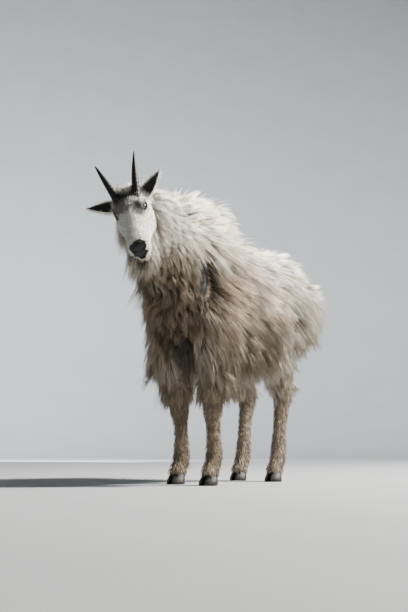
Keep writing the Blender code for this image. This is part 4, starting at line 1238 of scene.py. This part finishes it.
def keratin_material(name, ridge, dust):
    """Black keratin with growth lines along or round it and dust in patches."""
    made, tree = new_material(name)
    place = node(tree, "ShaderNodeTexCoord")
    grown_along = node(tree, "ShaderNodeAttribute", {"attribute_name": "along"})
    # Dust and wear in patches 4 mm across.
    own_place = {"Vector": place.outputs["Object"]}
    grains = node(tree, "ShaderNodeTexNoise", links=own_place, values={"Scale": 240.0})
    lines = node(
        tree,
        "ShaderNodeTexNoise",
        {"noise_dimensions": "1D"},
        {"W": grown_along.outputs["Fac"]},
        {"Scale": ridge, "Detail": 3.0},
    )
    dusty = node(
        tree,
        "ShaderNodeMapRange",
        links={"Value": grains.outputs["Fac"]},
        values={"From Min": 0.48, "From Max": 0.95, "To Max": dust},
    )
    colours = bpy.context.scene.goat_colours
    keratin_and_dust = {6: rgba(colours.horn), 7: rgba(colours.brown)}
    worn = {0: dusty.outputs["Result"]}
    colour = node(tree, "ShaderNodeMix", {"data_type": "RGBA"}, worn, keratin_and_dust)
    sheen = {"To Min": 0.42, "To Max": 0.62}
    rough = node(tree, "ShaderNodeMapRange", links={"Value": grains.outputs["Fac"]}, values=sheen)
    fine_ridges = {"Strength": 0.6, "Distance": 0.0008}
    relief = node(tree, "ShaderNodeBump", links={"Height": lines.outputs["Fac"]}, values=fine_ridges)
    finish = {
        "Base Color": colour.outputs[2],
        "Roughness": rough.outputs["Result"],
        "Normal": relief.outputs["Normal"],
    }
    keratin = {"IOR": 1.54, "Specular IOR Level": 0.30}
    shader = node(tree, "ShaderNodeBsdfPrincipled", links=finish, values=keratin)
    finish_material(tree, shader.outputs["BSDF"])
    return made


def floor_material():
    """Matt pale grey studio paper with a faint unevenness 30 cm across."""
    made, tree = new_material("pale_studio_paper")
    place = node(tree, "ShaderNodeTexCoord")
    own_place = {"Vector": place.outputs["Object"]}
    cloud = node(tree, "ShaderNodeTexNoise", links=own_place, values={"Scale": 3.0})
    greys = {6: rgba(linear(FLOOR_COLOURS[0])), 7: rgba(linear(FLOOR_COLOURS[1]))}
    colour = node(tree, "ShaderNodeMix", {"data_type": "RGBA"}, {0: cloud.outputs["Fac"]}, greys)
    paper = {"Base Color": colour.outputs[2]}
    shader = node(tree, "ShaderNodeBsdfPrincipled", links=paper, values={"Roughness": 0.85})
    finish_material(tree, shader.outputs["BSDF"])
    return made


def finish_piece(name, mesh, material, nodes=()):
    """The piece with its material, riding on the body and standing for its solids."""
    mesh.name = name
    thing = new_object(name, mesh)
    mesh.materials.clear()
    mesh.materials.append(material)
    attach(thing, "root")
    if nodes:
        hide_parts(*nodes)
    mesh.calc_loop_triangles()
    if len(mesh.loop_triangles) >= PIECE_LIMIT:
        raise RuntimeError(f"{name} has {len(mesh.loop_triangles)} triangles")
    return thing


def begin_modelling():
    """Nothing selected and no object in edit mode, so that the next primitive stands alone."""
    if bpy.context.mode != "OBJECT":
        bpy.ops.object.mode_set(mode="OBJECT")
    bpy.ops.object.select_all(action="DESELECT")


def picked(test):
    """Selects the vertices of the mesh in edit mode that pass the test."""
    bpy.ops.mesh.select_mode(type="VERT")
    bpy.ops.mesh.select_all(action="DESELECT")
    bm = bmesh.from_edit_mesh(bpy.context.object.data)
    for vertex in bm.verts:
        vertex.select_set(bool(test(vertex.co)))
    bm.select_flush(True)
    bmesh.update_edit_mesh(bpy.context.object.data)


def eye_matrix(side):
    """From an eye's own axes to the place of the solids."""
    turn = HEAD_TURN @ lid_turn(side)
    at = HEAD @ on_side(EYE_AT, side) + SHIFT
    return Matrix.Translation(at) @ turn.to_4x4()


class GOAT_OT_skin(bpy.types.Operator):
    """The whole skin from nose to feet, with lids, lips, nostrils and ears"""

    bl_idname = "goat.skin"
    bl_label = "Goat skin"

    def execute(self, context):
        head = head_form()
        head.transform(HEAD)
        mesh = combined(body_form(), head)
        points = as_array(mesh)
        tone = np.concatenate([markings_and_painted_shade(points), np.ones((len(points), 1))], axis=1)
        layer = mesh.attributes.new("markings_and_painted_shade", "FLOAT_COLOR", "POINT")
        layer.data.foreach_set("color", tone.astype(np.float32).ravel())
        layer = mesh.attributes.new("bare", "FLOAT", "POINT")
        layer.data.foreach_set("value", bare_skin(points).astype(np.float32))
        mesh.transform(Matrix.Translation(SHIFT))
        mesh.polygons.foreach_set("use_smooth", np.ones(len(mesh.polygons), bool))
        legs = [f"{kind}leg_{side}" for kind in ("fore", "hind") for side in ("left", "right")]
        nodes = ["head", "lower_jaw", "nose", "neck", "torso", "tail", "ear_left", "ear_right", *legs]
        nodes += [f"{leg}_{part}" for leg in legs for part in ("cannon", "pastern")]
        finish_piece("goat_skin", mesh, skin_material(), nodes)
        return {"FINISHED"}


class GOAT_OT_eyes(bpy.types.Operator):
    """Both eyes: a ball with the clear front part swelling out of it"""

    bl_idname = "goat.eyes"
    bl_label = "Goat eyes"

    def execute(self, context):
        for side, word in SIDE_NAMES.items():
            begin_modelling()
            ball_size = {"segments": 48, "ring_count": 36, "radius": EYE_RADIUS}
            bpy.ops.mesh.primitive_uv_sphere_add(location=(0, 0, 0), **ball_size)
            bpy.ops.object.mode_set(mode="EDIT")
            for height, swell in CORNEA:
                picked(lambda co, level=height: co.z > level)
                bpy.ops.transform.translate(value=(0, 0, swell))
            bpy.ops.object.mode_set(mode="OBJECT")
            bpy.ops.object.shade_smooth()
            mesh = bpy.context.object.data
            bpy.data.objects.remove(bpy.context.object)
            mesh.transform(eye_matrix(side))
            if side < 0:
                mesh.flip_normals()
            finish_piece(f"eyeball_{word}", mesh, eye_material(side), [f"eye_{word}"])
        return {"FINISHED"}


def horn_path(steps):
    """The middle line of the left horn in the head's axes and its own axes at each step."""
    length = bpy.context.scene.goat_sizes.horn_length
    spots, ways = [HORN_ROOT.copy()], []
    for k in range(steps + 1):
        sweep = math.radians(52 - 26 * k / steps)
        ways.append(Vector((0.26, math.cos(sweep), math.sin(sweep))).normalized())
        spots.append(spots[-1] + ways[-1] * length / steps)
    return spots, ways


class GOAT_OT_horns(bpy.types.Operator):
    """Both horns: drawn out straight ring by ring, then bent back along their curve"""

    bl_idname = "goat.horns"
    bl_label = "Goat horns"

    def execute(self, context):
        sizes = context.scene.goat_sizes
        begin_modelling()
        bpy.ops.mesh.primitive_circle_add(vertices=28, radius=1, fill_type="NGON", location=(0, 0, 0))
        bpy.ops.object.mode_set(mode="EDIT")
        bpy.ops.mesh.select_all(action="SELECT")
        size = 1.0
        for k in range(HORN_LEVELS):
            share = k / HORN_LEVELS
            ringed = 1 - float(smooth_step(0.45, 0.72, share))
            ridge = HORN_RIDGE * ringed * (abs(math.sin(math.pi * share * HORN_RINGS)) ** 3 - 0.4)
            wanted = sizes.horn_radius * (1 - share) ** 0.70 * (1 + ridge) + 0.0008
            middle = (0, 0, share * sizes.horn_length)
            bpy.ops.transform.resize(value=(wanted / size,) * 3, center_override=middle)
            size = wanted
            if k < HORN_LEVELS - 1:
                step = (0, 0, sizes.horn_length / HORN_LEVELS)
                bpy.ops.mesh.extrude_region_move(TRANSFORM_OT_translate={"value": step})
        bpy.ops.object.mode_set(mode="OBJECT")
        straight = bpy.context.object.data
        bpy.data.objects.remove(bpy.context.object)
        spots, ways = horn_path(HORN_STEPS)
        for side, word in SIDE_NAMES.items():
            mesh = straight.copy()
            along = []
            for vertex in mesh.vertices:
                share = vertex.co.z / sizes.horn_length * HORN_STEPS
                k = min(int(share), HORN_STEPS - 1)
                way = ways[k].lerp(ways[min(k + 1, HORN_STEPS)], share - k).normalized()
                out = Vector((1, 0, 0)) - way * way.x
                frame_here = Matrix((out.normalized(), way.cross(out).normalized(), way)).transposed()
                flat = Vector((vertex.co.x, vertex.co.y * 1.08, 0))
                along.append(vertex.co.z)
                vertex.co = spots[k].lerp(spots[k + 1], share - k) + frame_here @ flat
            layer = mesh.attributes.new("along", "FLOAT", "POINT")
            layer.data.foreach_set("value", along)
            mesh.transform(Matrix.Translation(SHIFT) @ HEAD @ Matrix.Diagonal((side, 1, 1, 1)))
            mesh.update()
            solid_outward(mesh)
            material = keratin_material(f"horn_keratin_{word}", ridge=420.0, dust=0.10)
            finish_piece(f"horn_piece_{word}", mesh, material, [f"horn_{word}"])
        return {"FINISHED"}


def solid_outward(mesh):
    """Turns every face of the mesh outward and shades it smooth but for its sharp edges."""
    bm = bmesh.new()
    bm.from_mesh(mesh)
    bmesh.ops.recalc_face_normals(bm, faces=bm.faces)
    for face in bm.faces:
        face.smooth = True
    for edge in bm.edges:
        edge.smooth = edge.calc_face_angle(0) < SHARP
    bm.to_mesh(mesh)
    bm.free()


def modelled_claw():
    """The claw of the half towards +x: its sole drawn as a half oval, then raised level by level."""
    begin_modelling()
    bpy.ops.mesh.primitive_circle_add(vertices=36, radius=1, fill_type="NGON", location=(0, 0, 0))
    bpy.ops.object.mode_set(mode="EDIT")
    picked(lambda co: co.x < 0.02)
    bpy.ops.transform.resize(value=(0.012, 1, 1), center_override=(0, 0, 0))
    bpy.ops.mesh.select_all(action="SELECT")
    bpy.ops.transform.resize(value=(HOOF_WIDTH, HOOF_LENGTH / 2, 1), center_override=(0, 0, 0))
    for ahead, narrow in ((0.010, 0.90), (0.020, 0.86), (0.029, 0.78)):
        picked(lambda co, limit=ahead: co.y < -limit)
        bpy.ops.transform.resize(value=(narrow, 1, 1), center_override=(0, 0, 0))
    bpy.ops.mesh.select_all(action="SELECT")
    size, height, back = 1.0, 0.0, 0.0
    for level, wanted, behind in HOOF_LEVELS:
        if level > 0:
            step = (0, behind - back, level - height)
            bpy.ops.mesh.extrude_region_move(TRANSFORM_OT_translate={"value": step})
        ratio = wanted / size
        bpy.ops.transform.resize(value=(ratio, ratio, 1), center_override=(0, behind, level))
        size, height, back = wanted, level, behind
    bpy.ops.mesh.select_all(action="SELECT")
    bpy.ops.mesh.remove_doubles(threshold=0.0001)
    bpy.ops.object.mode_set(mode="OBJECT")
    mesh = bpy.context.object.data
    bpy.data.objects.remove(bpy.context.object)
    return mesh


def modelled_spur():
    """The small blunt dewclaw, pointed below."""
    begin_modelling()
    bpy.ops.mesh.primitive_uv_sphere_add(segments=16, ring_count=12, radius=1, location=(0, 0, 0))
    bpy.ops.object.mode_set(mode="EDIT")
    picked(lambda co: co.z < -0.4)
    bpy.ops.transform.resize(value=(0.8, 0.8, 1.05), center_override=(0, 0, 0))
    bpy.ops.mesh.select_all(action="SELECT")
    bpy.ops.transform.resize(value=DEWCLAW_RADII, center_override=(0, 0, 0))
    bpy.ops.object.mode_set(mode="OBJECT")
    mesh = bpy.context.object.data
    bpy.data.objects.remove(bpy.context.object)
    return mesh


class GOAT_OT_feet(bpy.types.Operator):
    """The two hoof claws and two dewclaws of each foot, each a copy of the one modelled"""

    bl_idname = "goat.feet"
    bl_label = "Goat feet"

    def execute(self, context):
        claw, spur = modelled_claw(), modelled_spur()
        material = keratin_material("hoof_keratin", ridge=500.0, dust=0.75)
        for (kind, side), rows in LEGS.items():
            toe = Vector((rows[-2][0], rows[-2][1] - 0.012, 0)) + SHIFT
            heel = Vector((rows[-3][0], rows[-3][1] + rows[-3][4] + 0.006, 0.078)) + SHIFT
            leg = f"{kind}leg_{SIDE_NAMES[side]}"
            for half in (1, -1):
                place = "outer" if half == side else "inner"
                hinge = Matrix.Translation((0, HOOF_LENGTH / 2, 0))
                turn = hinge @ Matrix.Rotation(half * CLAW_SPLAY, 4, "Z") @ hinge.inverted()
                apart = Matrix.Translation((half * 0.0010, 0, 0))
                lean = Matrix.Rotation(half * 0.25, 4, "Z") @ Matrix.Rotation(0.6, 4, "X")
                at_heel = Matrix.Translation(heel + Vector((half * 0.0125, 0, 0)))
                at_toe = Matrix.Translation(toe) @ turn @ apart @ Matrix.Diagonal((half, 1, 1, 1))
                parts = ((claw, at_toe, "hoof"), (spur, at_heel @ lean, "dewclaw"))
                for shape, matrix, word in parts:
                    mesh = shape.copy()
                    mesh.transform(matrix)
                    layer = mesh.attributes.new("along", "FLOAT", "POINT")
                    layer.data.foreach_set("value", [v.co.z for v in mesh.vertices])
                    solid_outward(mesh)
                    name = f"{leg}_{word}_{place}"
                    finish_piece(f"{leg}_{word}_{place}_keratin", mesh, material, [name])
        return {"FINISHED"}


def skin_tree(mesh):
    """For finding the nearest place on the skin, in the axes of the sections."""
    places = [v.co - SHIFT for v in mesh.vertices]
    return BVHTree.FromPolygons(places, [list(f.vertices) for f in mesh.polygons])


def unshifted(mesh):
    """A copy of the skin back in the axes of the sections."""
    copy = mesh.copy()
    copy.transform(Matrix.Translation(-SHIFT))
    return copy


def add_tufts(name, tufts, chosen, width, profile, tones, material, slot):
    """A piece of the coat from some of the tufts."""
    some = {key: value[chosen] for key, value in tufts.items()}
    wide = np.broadcast_to(width, len(tufts["root"]))[chosen]
    mesh = tufts_mesh(name, some, wide, profile, tones, unrolled(some["root"], name))
    finish_piece(name, mesh, material)


class GOAT_OT_long_coat(bpy.types.Operator):
    """The long hair of the body in pieces, and that of the crown, cheeks, jaw, chin and beard"""

    bl_idname = "goat.long_coat"
    bl_label = "Goat long coat"

    def execute(self, context):
        sizes = context.scene.goat_sizes
        rng = np.random.default_rng(SEED)
        skin = unshifted(bpy.data.objects["goat_skin"].data)
        tree = skin_tree(bpy.data.objects["goat_skin"].data)
        material = hair_material()
        count = sizes.tufts // 1

        def on_body(points):
            behind_head = smooth_step(-0.035, -0.015, head_distance(points))
            above_cuffs = smooth_step(0.320, 0.37, points[:, 2])
            return behind_head * above_cuffs * (1 - near(points, BALD_AT, BALD_RADII, 0.3))

        root, out = scattered(skin, count, on_body, rng)
        lie, long, stand = coat_course(root)
        tufts = grown(root, out, lie, long, sizes.coat_lift * stand, tree, rng, sizes.clump)
        dirty = tufts["stain"] * (0.80 - 0.50 * smooth_step(0.84, 0.94, root[:, 2]))
        stained = np.array(context.scene.goat_colours.tan) * 0.55
        tufts["colour"] = shade(markings_and_painted_shade(tufts["root"]), stained, dirty)
        region = body_region(root)
        wider = 1
        width = sizes.tuft_width * np.clip(long / 0.10, 0.55, 1.1) * wider
        for name in sorted(set(region)):
            add_tufts(name, tufts, region == name, width, LONG_PROFILE, LONG_TONES, material, "coat")
        self.head_hair(sizes, skin, tree, material, rng)
        return {"FINISHED"}

    def head_hair(self, sizes, skin, tree, material, rng):
        """The crown's tuft, the ruff beside the cheeks, and the hair of the jaw, chin and beard."""
        fewer, wider = ((1, 1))
        made = []
        for where, number, size, way, down, lift, clump in HEAD_HAIR:

            def here(points, spot=where):
                inside = near(in_head(points), *spot, 0.25)
                return inside * (head_distance(points) < 0.01) * (bare_skin(points) < 0.4)

            root, out = scattered(skin, number // fewer, here, rng)
            head = in_head(root)
            side = np.sign(head[:, 0])
            lie = np.column_stack([side * way[0], *(np.full(len(root), part) for part in way[1:])])
            lie = unit(lie @ np.array(HEAD_TURN).T + np.array((0, 0, -down)))
            long = np.full(len(root), size)
            tufts = grown(root, out, lie, long, lift, tree, rng, clump, sway=0.16, sink=0.003)
            tufts["colour"] = markings_and_painted_shade(tufts["root"])
            made.append(tufts)
        both = {key: np.concatenate([tufts[key] for tufts in made]) for key in made[0]}
        width = sizes.tuft_width * HEAD_TUFT_SHARE * wider
        every = np.ones(len(both["root"]), bool)
        add_tufts("coat_head", both, every, width, LONG_PROFILE, LONG_TONES, material, "coat")


class GOAT_OT_short_coat(bpy.types.Operator):
    """The short hair of the face, ears, lower legs and the shed patch"""

    bl_idname = "goat.short_coat"
    bl_label = "Goat short coat"

    def execute(self, context):
        sizes = context.scene.goat_sizes
        rng = np.random.default_rng(SEED + 1)
        skin = unshifted(bpy.data.objects["goat_skin"].data)
        tree = skin_tree(bpy.data.objects["goat_skin"].data)
        material = bpy.data.materials["guard_hair"]
        fewer, wider = ((1, 1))
        count = sizes.face_tufts // fewer
        for name, share, weight, course in (
            ("fur_face", FACE_SHARE, face_weight, face_course),
            ("fur_legs", LEG_SHARE, leg_weight, leg_course),
        ):
            root, out = scattered(skin, int(count * share), weight, rng)
            lie, long, width = course(root)
            tufts = grown(root, out, lie, long, SHORT_LIFT, tree, rng, 5, sway=0.14, pull=0.35, sink=0.002)
            tufts["colour"] = markings_and_painted_shade(tufts["root"])
            looks = (width * wider, SHORT_PROFILE, SHORT_TONES, material, "short_coat")
            for side, word in SIDE_NAMES.items():
                mine = np.sign(in_head(root)[:, 0] if name == "fur_face" else root[:, 0]) == side
                add_tufts(f"{name}_{word}", tufts, mine, *looks)
        return {"FINISHED"}


def face_weight(points):
    """Dense on the head in front of the long hair, and none on bare skin or inside the sockets."""
    head = in_head(points)
    covered = (head_distance(points) < 0.03) * (bare_skin(points) < 0.25)
    for side in (1, -1):
        ring, local = lid_ring(head, side)
        ahead = local[:, 2] > -0.004
        covered = covered * ~((ring < 1.62) & ahead) * (1 + 2.0 * (ring < 2.7) * ahead)
    return covered * (1.0 + 1.5 * smooth_step(0.02, -0.08, head[:, 1]))


def face_course(root):
    """Short hair that lies from the nose up and back over the face, and out along the ears."""
    head = in_head(root)
    down = -0.25 - 4 * np.clip(-head[:, 2] - 0.03, 0, 0.1)
    lie = np.column_stack([0.25 * np.sign(head[:, 0]), np.full(len(root), 1.0), down])
    places, lengths = (-0.19, -0.12, -0.03, 0.05, 0.10), (0.0040, 0.0065, 0.0110, 0.0170, 0.0260)
    long = np.interp(head[:, 1], places, lengths)
    for side in (1, -1):
        ring, _ = lid_ring(head, side)
        near_eye = np.exp(-(((np.maximum(ring, 1) - 1) / 2.0) ** 2))
        long = long * (1 - 0.66 * near_eye)
        share, away = ear_share(head, side)
        on_ear = (share > 0.12) & (away < 0.045)
        lie[on_ear] = np.array(EAR_WAYS[side][0].normalized())
        long = np.where(on_ear, 0.0085 - 0.002 * np.clip(share, 0, 1), long)
    width = np.interp(long, (0.004, 0.026), (0.0010, 0.0022))
    return unit(lie @ np.array(HEAD_TURN).T), long, width


def leg_weight(points):
    """On the lower legs, and on the patch where the long hair is shed."""
    lower = smooth_step(0.44, 0.38, points[:, 2]) * (points[:, 2] > 0.040)
    return np.maximum(lower, 0.8 * near(points, BALD_AT, BALD_RADII, 0.5))


def leg_course(root):
    """Short hair down the legs, a little longer over the hooves."""
    z = root[:, 2]
    lie = np.column_stack([np.zeros(len(root)), np.full(len(root), 0.10), np.full(len(root), -1.0)])
    long = np.interp(z, (0.04, 0.06, 0.11, 0.24, 0.36, 0.45), (0.020, 0.026, 0.026, 0.022, 0.030, 0.042))
    long = np.where(z > 0.5, 0.014, long)
    long = np.minimum(long, np.maximum(0.010, z - 0.022))
    width = np.interp(long, (0.01, 0.04), (0.0015, 0.0026))
    return unit(lie), long, width


def studio_light(name, place, aim, size, power, colour):
    """A soft square lamp that shines at a point."""
    lamp = bpy.data.lights.new(name, "AREA")
    lamp.size = size
    lamp.energy = power
    lamp.color = colour
    thing = bpy.data.objects.new(name, lamp)
    thing.location = place
    thing.rotation_euler = (Vector(place) - Vector(aim)).to_track_quat("Z", "Y").to_euler()
    bpy.context.scene.collection.objects.link(thing)


class GOAT_OT_stage(bpy.types.Operator):
    """A pale grey floor that curves up all round, soft lights and the camera"""

    bl_idname = "goat.stage"
    bl_label = "Goat stage"

    def execute(self, context):
        begin_modelling()
        disc = {"vertices": 96, "radius": FLOOR_RADIUS, "fill_type": "TRIFAN"}
        bpy.ops.mesh.primitive_circle_add(location=(0, 0, 0), **disc)
        bpy.ops.object.mode_set(mode="EDIT")
        picked(lambda co: co.length > FLOOR_RADIUS * 0.9)
        bpy.ops.mesh.select_mode(type="EDGE")
        radius = FLOOR_RADIUS
        for k in range(COVE_STEPS):
            turn = math.radians(90 * (k + 0.5) / COVE_STEPS)
            step = COVE_RADIUS * math.pi / 2 / COVE_STEPS
            wider = radius + step * math.cos(turn)
            rise = (0, 0, step * math.sin(turn))
            bpy.ops.mesh.extrude_region_move(TRANSFORM_OT_translate={"value": rise})
            grow = (wider / radius, wider / radius, 1)
            bpy.ops.transform.resize(value=grow, center_override=(0, 0, 0))
            radius = wider
        bpy.ops.mesh.extrude_region_move(TRANSFORM_OT_translate={"value": (0, 0, WALL_HEIGHT)})
        bpy.ops.mesh.select_all(action="SELECT")
        bpy.ops.mesh.normals_make_consistent(inside=True)
        bpy.ops.object.mode_set(mode="OBJECT")
        bpy.ops.object.shade_smooth()
        floor = bpy.context.object
        floor.name = "studio_floor"
        floor.data.materials.append(floor_material())
        world = bpy.data.worlds.new("soft_studio")
        world.use_nodes = True
        sky = world.node_tree.nodes["Background"]
        sky.inputs["Color"].default_value = rgba(linear(WORLD_COLOUR))
        sky.inputs["Strength"].default_value = WORLD_STRENGTH
        context.scene.world = world
        for light in LIGHTS:
            studio_light(*light)
        self.camera(context)
        return {"FINISHED"}

    def camera(self, context):
        """The photo's view: from the goat's front left, close to the ground and looking a little up."""
        turn = math.radians(CAMERA_AZIMUTH)
        ahead = Vector((-math.sin(turn), math.cos(turn), 0))
        right = Vector((math.cos(turn), math.sin(turn), 0))
        eye = bpy.data.cameras.new("photo_view")
        eye.lens = CAMERA_LENS
        eye.sensor_fit = "HORIZONTAL"
        eye.sensor_width = CAMERA_SENSOR
        eye.clip_end = 60.0
        camera = bpy.data.objects.new("photo_view", eye)
        camera.location = SHIFT - ahead * CAMERA_DISTANCE + right * CAMERA_ASIDE + UP * CAMERA_HEIGHT
        aim = ahead + UP * CAMERA_RISE
        camera.rotation_euler = (-aim).to_track_quat("Z", "Y").to_euler()
        context.scene.collection.objects.link(camera)
        context.scene.camera = camera


class GOAT_PT_panel(bpy.types.Panel):
    """Builds the goat piece by piece"""

    bl_label = "Mountain goat"
    bl_space_type = "VIEW_3D"
    bl_region_type = "UI"
    bl_category = "Goat"

    def draw(self, context):
        for settings in (context.scene.goat_sizes, context.scene.goat_colours):
            for name in settings.bl_rna.properties.keys():
                if name not in ("rna_type", "name"):
                    self.layout.prop(settings, name)
        for operator in OPERATORS:
            self.layout.operator(operator.bl_idname)


OPERATORS = (
    GOAT_OT_skin,
    GOAT_OT_eyes,
    GOAT_OT_horns,
    GOAT_OT_feet,
    GOAT_OT_long_coat,
    GOAT_OT_short_coat,
    GOAT_OT_stage,
)
CLASSES = (GoatSizes, GoatColours, *OPERATORS, GOAT_PT_panel)


def register():
    for cls in CLASSES:
        bpy.utils.register_class(cls)
    bpy.types.Scene.goat_sizes = bpy.props.PointerProperty(type=GoatSizes)
    bpy.types.Scene.goat_colours = bpy.props.PointerProperty(type=GoatColours)


def unregister():
    del bpy.types.Scene.goat_sizes
    del bpy.types.Scene.goat_colours
    for cls in reversed(CLASSES):
        bpy.utils.unregister_class(cls)


def main():
    register()
    for operator in OPERATORS:
        step = operator.bl_idname.split(".")[1]
        getattr(bpy.ops.goat, step)()
        print("done", step)


if __name__ == "__main__":
    main()
